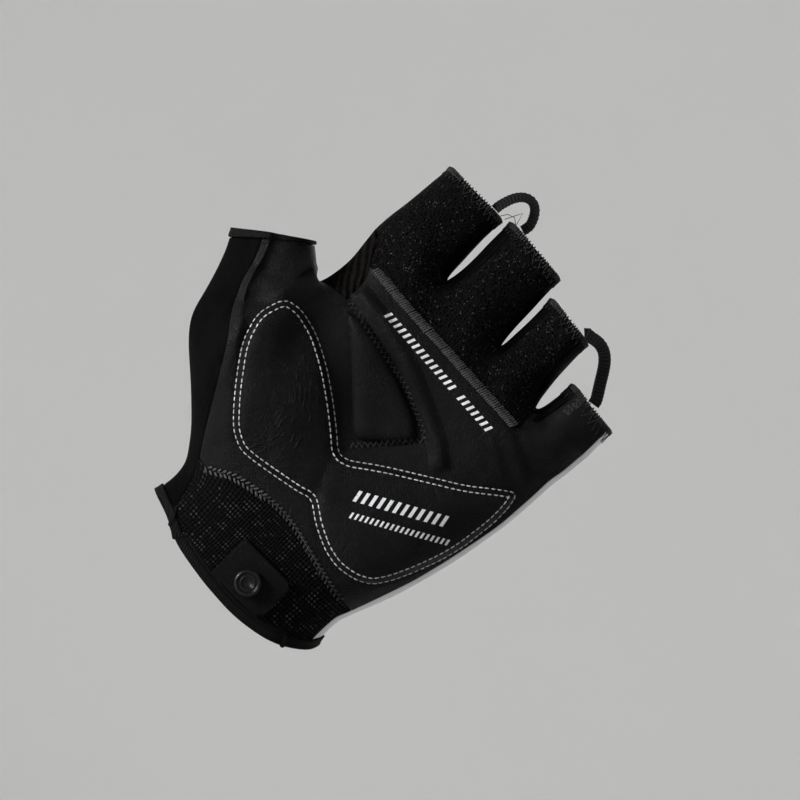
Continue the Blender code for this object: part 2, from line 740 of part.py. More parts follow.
def is_inside(place, outline):
    """Whether a place lies inside a closed outline."""
    inside = False
    for first, second in zip(outline, outline[1:] + outline[:1]):
        if (first.y > place.y) != (second.y > place.y):
            crossing = first.x + (place.y - first.y) / (second.y - first.y) * (second.x - first.x)
            if place.x < crossing:
                inside = not inside
    return inside


def draped_overlay(skin, name, outline, thickness, gap, edge, parts, material):
    """Overlay that follows the skin: an outline filled with the skin's own points, then thickened."""
    places, edges = skin.front_net(outline)
    start = len(places)
    border = [tuple(range(start, start + len(outline)))]
    filled = delaunay_2d_cdt(places + outline, edges, border, 1, net_tolerance)
    bm = bmesh.new()
    made, moves = {}, []
    for face in filled[2]:
        centre = sum((filled[0][corner] for corner in face), Vector((0.0, 0.0))) / len(face)
        if not is_inside(centre, outline):
            continue
        for corner in face:
            if corner in made:
                continue
            place = filled[0][corner]
            point, normal = skin.drape(place.x, place.y)
            depth = min(1.0, edge_distance(place, outline) / pad_edge_width)
            crown = math.sqrt(1.0 - (1.0 - depth) ** 2)
            made[corner] = bm.verts.new(point + normal * gap)
            moves.append(normal * blend(edge, thickness, crown))
        bm.faces.new([made[corner] for corner in face])
    thicken(bm, moves)
    finish(name, bm, parts, material)


def outline_points(shares):
    """Outline in the palm's plane from shares, softened and evenly stepped."""
    return resampled(softened([Vector(at(*pair)) for pair in shares]), outline_step)


def add_pads(skin, parts):
    """Leather overlays: the heel pad, the triangular pad and the padded ridge."""
    leather = make_material("overlay_leather", OVERLAY_COLOUR, 0.40)
    draped_overlay(skin, "carpal_pad", outline_points(CARPAL_PAD_OUTLINE), carpal_pad_thickness,
                   pad_gap, pad_edge_thickness, parts, leather)
    draped_overlay(skin, "palm_pad", outline_points(PALM_PAD_OUTLINE), palm_pad_thickness,
                   pad_gap, pad_edge_thickness, parts, leather)
    start, end = (Vector(at(*pair)) for pair in RIDGE_ENDS)
    across = (end - start).orthogonal().normalized() * 0.5 * ridge_width
    ends = (end - start).normalized() * 0.5 * ridge_width
    box = [start - across, end - across, end + ends, end + across, start + across, start - ends]
    ridge = resampled(softened(box), outline_step)
    draped_overlay(skin, "knuckle_pad", ridge, ridge_thickness, pad_gap,
                   pad_edge_thickness, parts, leather)


def add_snap(skin, parts):
    """Tab at the hem with the snap's socket on it."""
    centre = Vector(at(*TAB_CENTRE))
    half = Vector((0.5 * tab_width, 0.5 * tab_height))
    corners = [centre + Vector((side * half.x, level * half.y))
               for side, level in ((-1, -1), (1, -1), (1, 1), (-1, 1))]
    outline = resampled(corners, 0.9 * outline_step)
    patch = make_material("snap_patch", (0.012, 0.012, 0.013), 0.9)
    draped_overlay(skin, "snap_tab", outline, tab_thickness, tab_gap, tab_thickness, parts, patch)

    point, normal = skin.drape(*at(*SOCKET_CENTRE))
    radius = 0.5 * socket_diameter
    bore = 0.5 * socket_bore
    floor = socket_height - socket_recess
    profile = [(0.0, floor), (bore, floor), (bore * bore_flare, socket_height)]
    profile += [(radius * out, socket_height * up) for out, up in SOCKET_SHOULDER]
    profile.append((0.0, 0.0))
    mesh = bpy.data.meshes.new("snap_profile")
    mesh.from_pydata([(x, 0.0, z) for x, z in profile], [(n, n + 1) for n in range(len(profile) - 1)], [])
    guide = bpy.data.objects.new("snap_profile", mesh)
    parts.objects.link(guide)
    screw = guide.modifiers.new("turn", "SCREW")
    screw.steps = socket_steps
    screw.render_steps = socket_steps
    screw.use_merge_vertices = True
    screw.merge_threshold = 0.00002
    turned = evaluated_mesh(guide)
    bpy.data.objects.remove(guide)
    seat = point + normal * (tab_gap + tab_thickness + socket_gap)
    place = Matrix.Translation(seat) @ normal.to_track_quat("Z", "Y").to_matrix().to_4x4()
    bm = bmesh.new()
    bm.from_mesh(turned)
    bmesh.ops.transform(bm, matrix=place, verts=bm.verts[:])
    finish("snap_socket", bm, parts, make_material("snap_metal", (0.03, 0.03, 0.03), 0.3, 0.6))


def seat_point(finger, share):
    """Point over a finger's rim where a pull loop is sewn, in the palm's plane."""
    x, z = finger_rim(finger, share)
    slant = abs(named(FINGER_COLUMNS, FINGERS[finger])["slant"])
    return Vector((x, z + tape_seat_gap + 0.5 * slant * tape_width))


def rim_depth(finger, share):
    """Depth of the middle of the wall at a place on a finger's front rim."""
    lean = named(FINGER_COLUMNS, FINGERS[finger])["lean"]
    depth = lean + finger_front_share * rounded(share, finger_roundness)
    return 0.5 * fourchette_wall - depth * finger_depth


def add_loop(name, route, tilt, parts, material):
    """Pull loop: a flat tape swept along an arch that stands on two finger rims."""
    (first, first_share), middle, (last, last_share) = route
    straight = Vector((0.0, tape_thickness))
    path = [seat_point(first, first_share)]
    path.append(path[0] + straight)
    path += [Vector(at(*pair)) for pair in middle]
    end = seat_point(last, last_share)
    path += [end + straight, end]
    depth_first = rim_depth(first, first_share)
    depth_last = rim_depth(last, last_share)
    tape = bpy.data.curves.new("tape_section", "CURVE")
    tape.dimensions = "2D"
    section = tape.splines.new("POLY")
    section.points.add(3)
    section.use_cyclic_u = True
    turn = Matrix.Rotation(tilt, 2)
    for point, (side, face) in zip(section.points, ((-1, -1), (1, -1), (1, 1), (-1, 1))):
        corner = turn @ Vector((side * 0.5 * tape_width, face * 0.5 * tape_thickness))
        point.co = (corner.x, corner.y, 0.0, 1.0)
    section_object = bpy.data.objects.new("tape_section", tape)
    parts.objects.link(section_object)
    curve = bpy.data.curves.new(name, "CURVE")
    curve.dimensions = "3D"
    curve.twist_mode = "Z_UP"
    curve.bevel_mode = "OBJECT"
    curve.bevel_object = section_object
    curve.use_fill_caps = True
    curve.resolution_u = 2
    spline = curve.splines.new("POLY")
    places = arch_points(path)
    spline.points.add(len(places) - 1)
    for number, (point, place) in enumerate(zip(spline.points, places)):
        depth = blend(depth_first, depth_last, number / (len(places) - 1))
        point.co = (place.x, place.y, -depth, 1.0)
    obj = bpy.data.objects.new(name, curve)
    parts.objects.link(obj)
    obj.matrix_world = Matrix.Rotation(math.radians(90.0), 4, "X")
    bpy.context.view_layer.update()
    mesh = evaluated_mesh(obj)
    bm = bmesh.new()
    bm.from_mesh(mesh)
    bmesh.ops.transform(bm, matrix=obj.matrix_world, verts=bm.verts[:])
    bmesh.ops.remove_doubles(bm, verts=bm.verts[:], dist=0.00001)
    bmesh.ops.triangulate(bm, faces=bm.faces[:])
    bpy.data.objects.remove(obj)
    bpy.data.objects.remove(section_object)
    finish(name, bm, parts, material)


def arch_points(path, steps=8):
    """Smooth route near a list of points, in even steps and with no sharp bend."""
    places = [path[0]]
    for number in range(len(path) - 1):
        before = path[max(0, number - 1)]
        first, second = path[number], path[number + 1]
        after = path[min(len(path) - 1, number + 2)]
        for step in range(1, steps + 1):
            share = step / steps
            square, cube = share ** 2, share ** 3
            places.append(0.5 * (2 * first + (second - before) * share
                                 + (2 * before - 5 * first + 4 * second - after) * square
                                 + (3 * first - before - 3 * second + after) * cube))
    for _ in range(arch_rounds):
        middles = [(a + 2 * b + c) / 4 for a, b, c in zip(places, places[1:], places[2:])]
        places = [places[0]] + middles + [places[-1]]
    lengths = [0.0]
    for first, second in zip(places, places[1:]):
        lengths.append(lengths[-1] + (second - first).length)
    count = round(lengths[-1] / arch_step)
    route = []
    number = 0
    for station in range(count + 1):
        along = lengths[-1] * station / count
        while number < len(places) - 2 and lengths[number + 1] < along:
            number += 1
        span = lengths[number + 1] - lengths[number]
        route.append(places[number].lerp(places[number + 1], (along - lengths[number]) / span))
    return route


def new_collection(name):
    """Collection linked to the scene."""
    collection = bpy.data.collections.new(name)
    bpy.context.scene.collection.children.link(collection)
    return collection


def main():
    for obj in list(bpy.data.objects):
        bpy.data.objects.remove(obj)
    parts = new_collection("cycling_glove")
    guides = new_collection("guides")
    mesh = smooth_skin(build_cage(), guides)
    press_folds(mesh)
    skin = Skin(mesh)
    for name in PANEL_NAMES:
        add_panel(skin, name, parts)
    add_pads(skin, parts)
    add_snap(skin, parts)
    tape = make_material("loop_tape", (0.012, 0.012, 0.013), 0.8)
    add_loop("pull_loop_index_middle", LOOP_INDEX_MIDDLE, index_middle_tilt, parts, tape)
    add_loop("pull_loop_ring_little", LOOP_RING_LITTLE, ring_little_tilt, parts, tape)


main()
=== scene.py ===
"""Fingerless cycling glove for a left hand, dressed for rendering.

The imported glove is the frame. Its panels, pads and fittings are replaced by finer pieces with
their own leather, knit and metal finishes, and the stitching is laid on top of them.
Fingers point along +Z, the palm faces -Y. Lengths are in metres, tables are in millimetres.
"""

import math

import bmesh
import bpy
from mathutils import Matrix, Vector, noise
from mathutils.bvhtree import BVHTree
from mathutils.kdtree import KDTree


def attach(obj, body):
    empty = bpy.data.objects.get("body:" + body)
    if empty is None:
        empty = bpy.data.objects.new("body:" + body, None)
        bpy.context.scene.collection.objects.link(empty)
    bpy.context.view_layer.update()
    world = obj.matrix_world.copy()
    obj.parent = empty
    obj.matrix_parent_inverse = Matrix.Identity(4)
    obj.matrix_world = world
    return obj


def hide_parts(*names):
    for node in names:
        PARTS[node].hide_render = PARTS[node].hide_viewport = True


bl_info = {
    "name": "Cycling Glove",
    "version": (1, 0, 0),
    "blender": (4, 5, 0),
    "location": "3D View > Sidebar > Glove",
    "description": "Builds the finished pieces of a fingerless cycling glove",
    "category": "Object",
}

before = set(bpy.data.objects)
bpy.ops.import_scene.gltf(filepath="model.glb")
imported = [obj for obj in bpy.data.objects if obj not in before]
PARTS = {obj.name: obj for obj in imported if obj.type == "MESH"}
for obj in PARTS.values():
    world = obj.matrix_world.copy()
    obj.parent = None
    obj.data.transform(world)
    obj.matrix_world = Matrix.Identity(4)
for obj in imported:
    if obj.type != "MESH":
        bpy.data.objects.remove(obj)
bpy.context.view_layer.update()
MM = 0.001

# Camera and stage
view_centre = Vector((-0.0007, 0.0, 0.0744))
view_distance = 1.2
view_width = 0.248
view_roll = math.radians(45.0)
stage_radius = 3.2
stage_drop = 0.45
stage_steps = 64

# Panels of the shell: finished piece, finish, record slot, subdivision levels, rim crease
PANEL_COLUMNS = ("piece", "finish", "slot", "levels", "crease")
PANELS = {
    "palm_leather": ("grained_palm", "palm_leather", "leather", 3, 0.9),
    "finger_mesh": ("knit_fingers", "finger_knit", "knit", 2, 0.9),
    "wrist_mesh": ("knit_wrist", "wrist_knit", "knit", 2, 0.9),
    "back_panel": ("cloth_back", "back_cloth", "back_fabric", 2, 0.9),
    "thumb_panel": ("stretch_thumb", "stretch_cloth", "stretch", 2, 0.9),
    "web_gusset": ("ribbed_web", "ribbed_knit", "gusset_knit", 2, 0.9),
    "fourchette_index_middle": ("side_strip_index_middle", "stretch_cloth", "stretch", 2, 0.9),
    "fourchette_middle_ring": ("side_strip_middle_ring", "stretch_cloth", "stretch", 2, 0.9),
    "fourchette_ring_little": ("side_strip_ring_little", "stretch_cloth", "stretch", 2, 0.9),
    "wrist_binding": ("rolled_wrist_edge", "binding_cloth", "binding", 2, 0.5),
    "thumb_binding": ("rolled_thumb_edge", "binding_cloth", "binding", 2, 0.5),
}
fit_rounds = 5
weld_distance = 0.00001
rim_angle = math.radians(50.0)
ripple_seed = 7
ripple_size = 0.011
ripple_height = 0.00022
smooth_angle = math.radians(55.0)
join_angle = math.radians(40.0)
join_shape_angle = math.radians(50.0)

# Lines and rays in the palm's plane
line_step = 0.0002
shift_step = 0.0012
shift_reach = 0.0008
corner_share = 0.2
ray_start = -0.2
ray_reach = 0.0005
layer_depth = 0.002
front_depth = -0.012

# Outlines of the padded overlays, across and along the palm
CARPAL_PAD = (
    (-47.5, 71.5), (-50.1, 62.5), (-47.3, 53.0), (-38.5, 41.0), (-30.6, 32.2), (-24.6, 29.2),
    (-18.3, 29.7), (-2.8, 32.5), (1.4, 34.0), (8.0, 29.3), (15.5, 25.8), (21.6, 24.7),
    (28.2, 25.7), (33.1, 28.2), (36.8, 33.5), (40.0, 40.5), (43.1, 48.5), (45.1, 56.0),
    (46.6, 68.0), (46.4, 75.5), (44.9, 79.8), (40.0, 76.5), (32.1, 70.2), (23.2, 64.8),
    (9.8, 56.5), (-1.2, 48.5), (-8.3, 54.6), (-15.9, 60.5), (-23.8, 65.9), (-32.7, 70.6),
    (-41.4, 72.8),
)
PALM_PAD = (
    (-33.0, 81.8), (-26.4, 77.6), (-19.2, 72.0), (-12.9, 65.6), (-2.6, 55.2), (5.6, 61.8),
    (12.4, 69.0), (6.6, 73.9), (-4.6, 78.2), (-16.8, 81.9), (-26.4, 83.5),
)
RIDGE = ((-34.5, 89.6), (-20.0, 87.6), (-6.0, 83.6), (8.0, 77.6), (18.0, 72.4), (24.0, 67.0))
ridge_half_width = 0.0038

# Finished pads: node, height, width of the shoulder, and how full they are
PAD_COLUMNS = ("node", "height", "shoulder", "fill")
PADS = {
    "heel_pad": ("carpal_pad", 0.0026, 0.0062, 0.6),
    "triangle_pad": ("palm_pad", 0.0030, 0.0060, 0.7),
    "ridge_pad": ("knuckle_pad", 0.0019, 0.0036, 0.5),
}
pad_step = 0.0009
pad_sink = 0.00015
pad_floor = 0.0006
pad_reach = 0.0012
arc_centre = (-0.035, 0.0, 0.043)

# Channels pressed under the seams: half width and depth
INNER_CHANNEL = (0.0007, 0.00030)
OUTER_CHANNEL = (0.0007, 0.00028)
TRIANGLE_CHANNEL = (0.0012, 0.00045)
row_inset = 0.0002

# Soft folds pressed into the palm leather: two ends, half width and depth
FOLDS = (
    (31.0, 93.0, 43.0, 87.5, 1.6, 0.55), (30.0, 87.0, 41.0, 81.5, 1.6, 0.45),
    (-4.0, 47.0, 2.0, 36.0, 2.4, 0.60), (12.0, 57.0, 20.0, 61.0, 1.6, 0.25),
    (-57.0, 62.0, -50.0, 68.0, 2.2, 0.55), (-60.0, 72.0, -52.0, 77.0, 1.4, 0.35),
    (-41.0, 76.0, -36.0, 90.0, 1.6, 0.30), (24.0, 70.0, 33.0, 75.0, 1.8, 0.35),
    (-30.0, 26.0, -42.0, 38.0, 2.0, 0.30), (27.0, 84.0, 34.0, 78.0, 1.5, 0.25),
)

# Rims of the four finger openings: left x and z, right x and z, front y, back y
RIM_COLUMNS = ("left", "left_z", "right", "right_z", "front", "back")
FINGER_RIMS = {
    "index": (-40.7, 136.3, -17.5, 135.7, -12.5, 9.0),
    "middle": (-15.5, 137.4, 7.9, 135.7, -12.9, 8.6),
    "ring": (10.2, 129.6, 28.4, 127.5, -12.5, 9.0),
    "little": (33.5, 115.5, 52.6, 113.5, -11.6, 9.9),
}
section_power = 2.4
rim_share = 1.35
loop_pitch = 0.85
cuff_pitch = 1.1
cuff_top = 0.6
cuff_wander = 0.5
zigzag_deep = {"index": 3.3, "middle": 3.3, "ring": 3.3, "little": 4.4}

# Zigzag seam round the triangle pad, then rows of printed bars with the bar that is left out
TRIANGLE_SEAM = ((-32.6, 84.6), (-17.5, 81.7), (-1.7, 78.2), (11.7, 72.4), (13.3, 70.8),
                 (5.8, 62.2), (-1.7, 53.7))
zigzag_pitch = 0.0009
zigzag_half_width = 0.0008
no_gap = 99
print_slant = 0.32
print_lift = 0.00009
print_thickness = 0.00016
PRINT_COLUMNS = ("start", "end", "height", "bar", "pitch", "gap_at")
PRINTS = (
    ((-22.4, 89.1), (26.3, 86.0), 2.4, 0.9, 2.1, 15),
    ((10.8, 42.4), (38.4, 57.6), 3.6, 1.1, 2.5, no_gap),
    ((13.6, 38.0), (42.0, 53.6), 1.9, 0.7, 1.6, no_gap),
)

# Knuckle and wrist seams and the hem: both ends across, lowest and highest place
SEAM_COLUMNS = ("start", "end", "low", "high")
KNUCKLE_SEAM = (-0.0343, 0.0298, 0.086, 0.102)
WRIST_SEAM = (-0.0278, 0.0300, 0.006, 0.034)
HEM = (-0.0260, 0.0280, -0.0085, 0.0100)
hem_steps = 60
hem_rise = 0.0005
hem_sink = 0.0002

# Strokes of the knuckle seam
STROKE_SHARES = (-0.5, -0.38, -0.15, 0.12, 0.36, 0.5)
stroke_pitch = 0.00078
stroke_lift = 0.00085
stroke_slant = 0.0004
stroke_jitter = 0.0006
stroke_sink = 0.00008

# Radius of threads and rolls
thread_lift = 0.00012
knuckle_thread = 0.00030
zigzag_thread = 0.00022
cuff_thread = 0.00013
edge_thread = 0.00024
box_thread = 0.00016
loose_thread = 0.00012
side_roll = 0.00135
hem_roll = 0.0008

# Plaited wrist seam: piece, finish, width, bead radius, first and last share of the way
BRAIDS = (
    ("wrist_seam_braid", "grey_thread", 0.0030, 0.00040, 0.0, 0.34),
    ("wrist_seam_braid_dark", "black_thread", 0.0024, 0.00034, 0.34, 1.0),
)
braid_pitch = 0.0016

# Rolled strips along the left sides of the middle, ring and little finger
SIDE_ROLLS = (
    ((-14.6, 107.5), (-14.0, 118.0), (-13.9, 134.0)),
    ((10.6, 104.5), (11.2, 114.0), (11.8, 126.5)),
    ((32.8, 98.5), (34.4, 104.0), (35.4, 112.6)),
)

# Pull loops: what the end of a tape measures at most, and how a rib swells it
cap_thickness = 0.0016
cap_width = 0.0056
wide_least, wide_swell = 0.97, 0.03
thin_least, thin_swell = 0.66, 0.44
tape_corners = 14
tape_fullness = 0.6

# Loose threads by the pull loop, across, in depth and along
LOOSE_THREADS = (
    ((-19.0, -10.5, 136.0), (-17.6, -10.0, 138.2), (-15.4, -10.6, 138.9), (-13.4, -10.8, 137.4)),
    ((-17.2, -10.4, 136.4), (-15.6, -10.9, 139.6), (-14.6, -10.7, 141.6), (-13.2, -10.8, 137.0)),
)

# Box stitches at the little finger's hem
BOX_STITCHES = ((38.5, 112.0), (38.1, 108.8))
BOX_CORNERS = ((-1, -1), (1, -1), (1, 1), (-1, 1), (-1, -1), (1, 1), (-1, 1), (1, -1))
box_half = 0.00105

# Press stud: place and axis of its rim, and its turned profile as radius and height
stud_centre = Vector((0.0059088, -0.0250448, 0.0023435))
stud_axis = Vector((0.0663804, -0.9976967, -0.0139591))
stud_steps = 48
STUD_PROFILE = (
    (0.0, -1.10), (1.55, -1.10), (1.72, -1.00), (1.80, -0.55), (1.98, -0.42), (2.20, -0.36),
    (2.42, -0.42), (2.62, -0.62), (2.86, -0.62), (3.02, -0.42), (3.14, -0.08), (3.34, 0.0),
    (3.62, -0.02), (3.90, -0.16), (4.12, -0.44), (4.20, -0.80), (4.20, -1.85), (4.10, -2.0),
    (0.0, -2.0),
)

# Lights: place from the middle of the view, size, power, and 1 towards it or -1 away from it
LIGHTS = {
    "key_light": ((-1.05, -0.60, -0.30), 0.45, 20.0, 1.0),
    "fill_light": ((0.2, -1.5, 0.9), 1.2, 2.0, 1.0),
    "top_light": ((0.3, 0.5, 1.6), 1.2, 6.0, 1.0),
    "back_light": ((0.8, 1.5, 0.4), 1.2, 6.0, 1.0),
    "paper_light": ((0.0, 0.45, 0.0), 0.9, 15.0, -1.0),
}
air_colour = (0.95, 0.97, 1.0, 1.0)
air_strength = 0.24
stage_flat = 0.6
stage_bend = 0.4
stage_bend_steps = 8
stage_height = 1.3


def named(columns, row):
    """Row of a table as a dictionary with its column names."""
    return dict(zip(columns, row))


def places(pairs):
    """Points in the palm's plane, in metres, from pairs in millimetres."""
    return [Vector(pair) * MM for pair in pairs]


def sizes():
    """Sizes that a user may change."""
    return bpy.context.scene.glove_sizes


def colours():
    """Colours that a user may change."""
    return bpy.context.scene.glove_colours


class Wire:
    """Output of a shader node that takes part in sums."""

    def __init__(self, finish, socket):
        self.finish = finish
        self.socket = socket

    def __add__(self, other):
        return self.finish.math("ADD", self, other)

    __radd__ = __add__

    def __sub__(self, other):
        return self.finish.math("SUBTRACT", self, other)

    def __rsub__(self, other):
        return self.finish.math("SUBTRACT", other, self)

    def __mul__(self, other):
        return self.finish.math("MULTIPLY", self, other)

    __rmul__ = __mul__


class Finish:
    """Procedural material round one Principled shader."""

    def __init__(self, name):
        self.material = bpy.data.materials.new(name)
        self.material.use_nodes = True
        self.tree = self.material.node_tree
        self.shader = self.tree.nodes["Principled BSDF"]

    def node(self, kind, settings, inputs, output=0):
        """New node with its settings, then its inputs, as one of its outputs."""
        made = self.tree.nodes.new(kind)
        for key, value in settings.items():
            setattr(made, key, value)
        for key, value in inputs.items():
            self.join(value, made.inputs[key])
        return Wire(self, made.outputs[output])

    def join(self, value, socket):
        """Feeds a socket from a wire or with a value."""
        if isinstance(value, Wire):
            self.tree.links.new(value.socket, socket)
        else:
            socket.default_value = value

    def math(self, operation, first, second=0.0):
        """Sum of two numbers or wires."""
        return self.node("ShaderNodeMath", {"operation": operation}, {0: first, 1: second})

    def spread(self, value, low, high, smooth=True):
        """0 below low, 1 above high, and between them a smooth or straight rise."""
        kind = "SMOOTHSTEP" if smooth else "LINEAR"
        return self.node("ShaderNodeMapRange", {"interpolation_type": kind},
                         {0: value, 1: low, 2: high})

    def where(self, scale=(1.0, 1.0, 1.0), turn=(0.0, 0.0, 0.0), centre=(0.0, 0.0, 0.0)):
        """Place on the piece, moved, then turned and scaled."""
        place = self.node("ShaderNodeTexCoord", {}, {}, "Object")
        return self.node("ShaderNodeMapping", {"vector_type": "TEXTURE"},
                         {0: place, 1: centre, 2: turn, 3: [1.0 / size for size in scale]})

    def parts(self, vector):
        """Three wires with the parts of a vector."""
        made = self.node("ShaderNodeSeparateXYZ", {}, {0: vector})
        return [Wire(self, socket) for socket in made.socket.node.outputs]

    def noise(self, scale, vector=None, detail=3.0, rough=0.55, distortion=0.0):
        """Soft noise from 0 to 1 with features of 1 / scale metres."""
        return self.node("ShaderNodeTexNoise", {}, {
            "Vector": vector or self.where(), "Scale": scale, "Detail": detail,
            "Roughness": rough, "Distortion": distortion})

    def cells(self, scale, vector=None, feature="DISTANCE_TO_EDGE", random=1.0):
        """Distance in a pattern of cells."""
        return self.node("ShaderNodeTexVoronoi", {"feature": feature}, {
            "Vector": vector or self.where(), "Scale": scale, "Randomness": random})

    def mix(self, share, first, second):
        """Colour a share of the way from first to second."""
        return self.node("ShaderNodeMix", {"data_type": "RGBA"}, {0: share, 6: first, 7: second}, 2)

    def tones(self, share, colour, low, high):
        """One colour at two gains, and what lies between them."""
        return self.mix(share, rgba(colour, low), rgba(colour, high))

    def bump(self, height, depth, strength=1.0):
        """Feeds the shader's normal from a height of 0 to 1."""
        normal = self.node("ShaderNodeBump", {}, {
            "Strength": strength, "Distance": depth, "Height": height})
        self.join(normal, self.shader.inputs["Normal"])

    def done(self, colour, roughness, **fixed):
        """Colour and roughness that may vary, and fixed values by their socket's name."""
        self.join(colour, self.shader.inputs["Base Color"])
        self.join(roughness, self.shader.inputs["Roughness"])
        for key, value in fixed.items():
            self.shader.inputs[key.replace("_", " ")].default_value = value
        return self.material


def rgba(colour, gain=1.0):
    """Colour with alpha, brightened by a gain."""
    return tuple(min(1.0, part * gain) for part in colour[:3]) + (1.0,)


def leather_finish(name, colour, arcs=False):
    """Fine pebbled leather with crossing hair creases, softly worn where it is smoothest."""
    f = Finish(name)
    grain = sizes().leather_grain
    pebble = f.spread(f.cells(1.0 / grain), 0.0, 0.16)
    fine = f.noise(2400.0, detail=4.0)
    patches = f.noise(75.0, detail=3.0)
    creases = 0.0
    for turn in (0.65, -0.55, 1.45):
        streaks = f.noise(1.0, f.where((190.0, 500.0, 1150.0), (0.0, turn, 0.0)), 2.0, 0.5, 0.6)
        creases = f.math("MAXIMUM", creases, f.spread(streaks, 0.57, 0.72))
    creases = creases * f.spread(patches, 0.38, 0.62)
    height = pebble * 0.34 + fine * 0.22 - creases * 0.55
    if arcs:
        across, _, along = f.parts(f.where(centre=arc_centre))
        radius = f.math("SQRT", across * across + along * along)
        wander = f.noise(130.0, detail=2.0) * 0.006
        rings = f.math("SINE", (radius + wander) * 3300.0)
        inside = f.spread(radius, 0.008, 0.011) * (1.0 - f.spread(radius, 0.020, 0.026))
        broken = f.spread(f.noise(260.0, detail=2.0), 0.42, 0.60)
        rings = f.spread(rings, 0.45, 1.0) * inside * broken
        height = height + rings * 0.9
    shade = f.spread(patches, 0.3, 0.75)
    tone = f.tones(shade, colour, 0.80, 1.35)
    tone = f.mix(creases * 0.6, tone, rgba(colour, 1.9))
    roughness = 0.47 - shade * 0.07 + fine * 0.10
    f.bump(height, 0.00030, 1.0)
    return f.done(tone, roughness, Specular_IOR_Level=0.10)


def finger_knit_finish(name):
    """Coarse open knit: black yarn round holes, with small light specks of yarn; the holes get
    painted shade and the yarn loops a painted highlight.
    """
    f = Finish(name)
    pitch = sizes().finger_knit_pitch
    wobble = f.noise(500.0, detail=2.0)
    net = f.cells(1.0 / pitch, random=0.75)
    hole = f.spread(net, 0.12, 0.34)
    loops = f.cells(1.9 / pitch, feature="F1", random=0.9)
    yarn = (1.0 - f.spread(loops, 0.10, 0.55)) * (1.0 - hole)
    specks = f.spread(f.cells(1.6 / pitch, feature="F1", random=1.0) * -1.0, -0.30, -0.12)
    specks = specks * f.spread(f.noise(420.0, detail=1.0), 0.48, 0.60)
    # Painted shade: the holes are darkened to stand for the shade behind them, and the yarn loops
    # are lightened as a painted highlight.
    tone = f.tones(hole, colours().knit, 1.5, 0.30)
    tone = f.mix(yarn * 0.8, tone, rgba(colours().knit, 3.2))
    tone = f.mix(specks, tone, rgba(colours().knit_speck))
    f.bump(yarn * 0.7 - hole * 0.9 + wobble * 0.2, 0.0005)
    return f.done(tone, 0.78 - specks * 0.25, Specular_IOR_Level=0.04)


def wrist_knit_finish(name):
    """Finer regular knit with small staggered holes round the wrist; the holes get painted shade
    and the yarn crests a painted highlight.
    """
    f = Finish(name)
    pitch = sizes().wrist_knit_pitch
    x, y, z = f.parts(f.where())
    across = f.math("ARCTAN2", x, 0.0 - y) * 0.030
    waver = f.noise(140.0, detail=1.0) * 0.0016
    first = (across + z + waver) * (math.pi / pitch * 1.414)
    second = (across - z + waver) * (math.pi / pitch * 1.414)
    weave = f.math("SINE", first) * f.math("SINE", second)
    hole = f.spread(weave, 0.12, 0.62)
    yarn = f.spread(weave * -1.0, 0.05, 0.8)
    light = f.spread(f.noise(330.0, detail=2.0), 0.50, 0.66) * yarn
    # Painted shade darkens the holes and a painted highlight lightens the yarn crests.
    tone = f.tones(hole, colours().knit, 1.7, 0.25)
    tone = f.mix(yarn * 0.7, tone, rgba(colours().knit, 2.8))
    tone = f.mix(light * 0.8, tone, rgba(colours().knit_speck, 0.8))
    f.bump(yarn - hole, 0.00045)
    return f.done(tone, 0.80, Specular_IOR_Level=0.04)


def stretch_finish(name):
    """Smooth matte stretch cloth with a fine twill."""
    f = Finish(name)
    x, y, z = f.parts(f.where())
    twill = f.math("SINE", (x + z * 0.8 + y * 0.6) * (math.tau / sizes().twill_pitch))
    fuzz = f.noise(1900.0, detail=3.0)
    cloud = f.noise(90.0, detail=3.0)
    tone = f.tones(f.spread(cloud, 0.3, 0.7), colours().stretch, 0.8, 1.5)
    f.bump(twill * 0.25 + fuzz * 0.5, 0.00012)
    return f.done(tone, 0.66 + fuzz * 0.14, Specular_IOR_Level=0.012)


def ribbed_knit_finish(name):
    """Brown-black knit in soft ribs, with painted highlight on the rib crests and painted shade
    between them.
    """
    f = Finish(name)
    x, y, z = f.parts(f.where())
    waver = f.noise(120.0, detail=2.0) * 0.0022
    across = x * 0.8 + z * 0.6 + waver
    rib = f.math("SINE", across * (math.tau / sizes().web_rib_pitch)) * 0.5 + 0.5
    stitch = f.math("SINE", (z * 0.8 - x * 0.6 + y) * (math.tau / sizes().wrist_knit_pitch))
    fuzz = f.noise(1500.0, detail=3.0)
    # Painted highlight on the rib crests and painted shade in the hollows between them.
    tone = f.tones(rib, colours().gusset, 0.4, 2.0)
    tone = f.mix(f.spread(fuzz, 0.5, 0.75) * 0.5, tone, rgba(colours().gusset, 3.4))
    f.bump(rib + stitch * 0.12 + fuzz * 0.2, 0.0006)
    return f.done(tone, 0.82, Specular_IOR_Level=0.012)


def back_cloth_finish(name):
    """Pale woven cloth of the back."""
    f = Finish(name)
    x, y, z = f.parts(f.where())
    pitch = math.tau / sizes().back_weave_pitch
    weave = f.math("SINE", (x + y * 0.6) * pitch) * f.math("SINE", z * pitch)
    soil = f.noise(70.0, detail=4.0)
    fuzz = f.noise(1700.0, detail=2.0)
    tone = f.tones(f.spread(soil, 0.35, 0.75), colours().back, 1.0, 0.86)
    tone = f.mix(f.spread(weave, 0.2, 1.0) * 0.25, tone, rgba(colours().back, 0.7))
    f.bump(weave * 0.4 + fuzz * 0.3, 0.00015)
    return f.done(tone, 0.75 + fuzz * 0.1, Sheen_Weight=0.1, Sheen_Roughness=0.5)


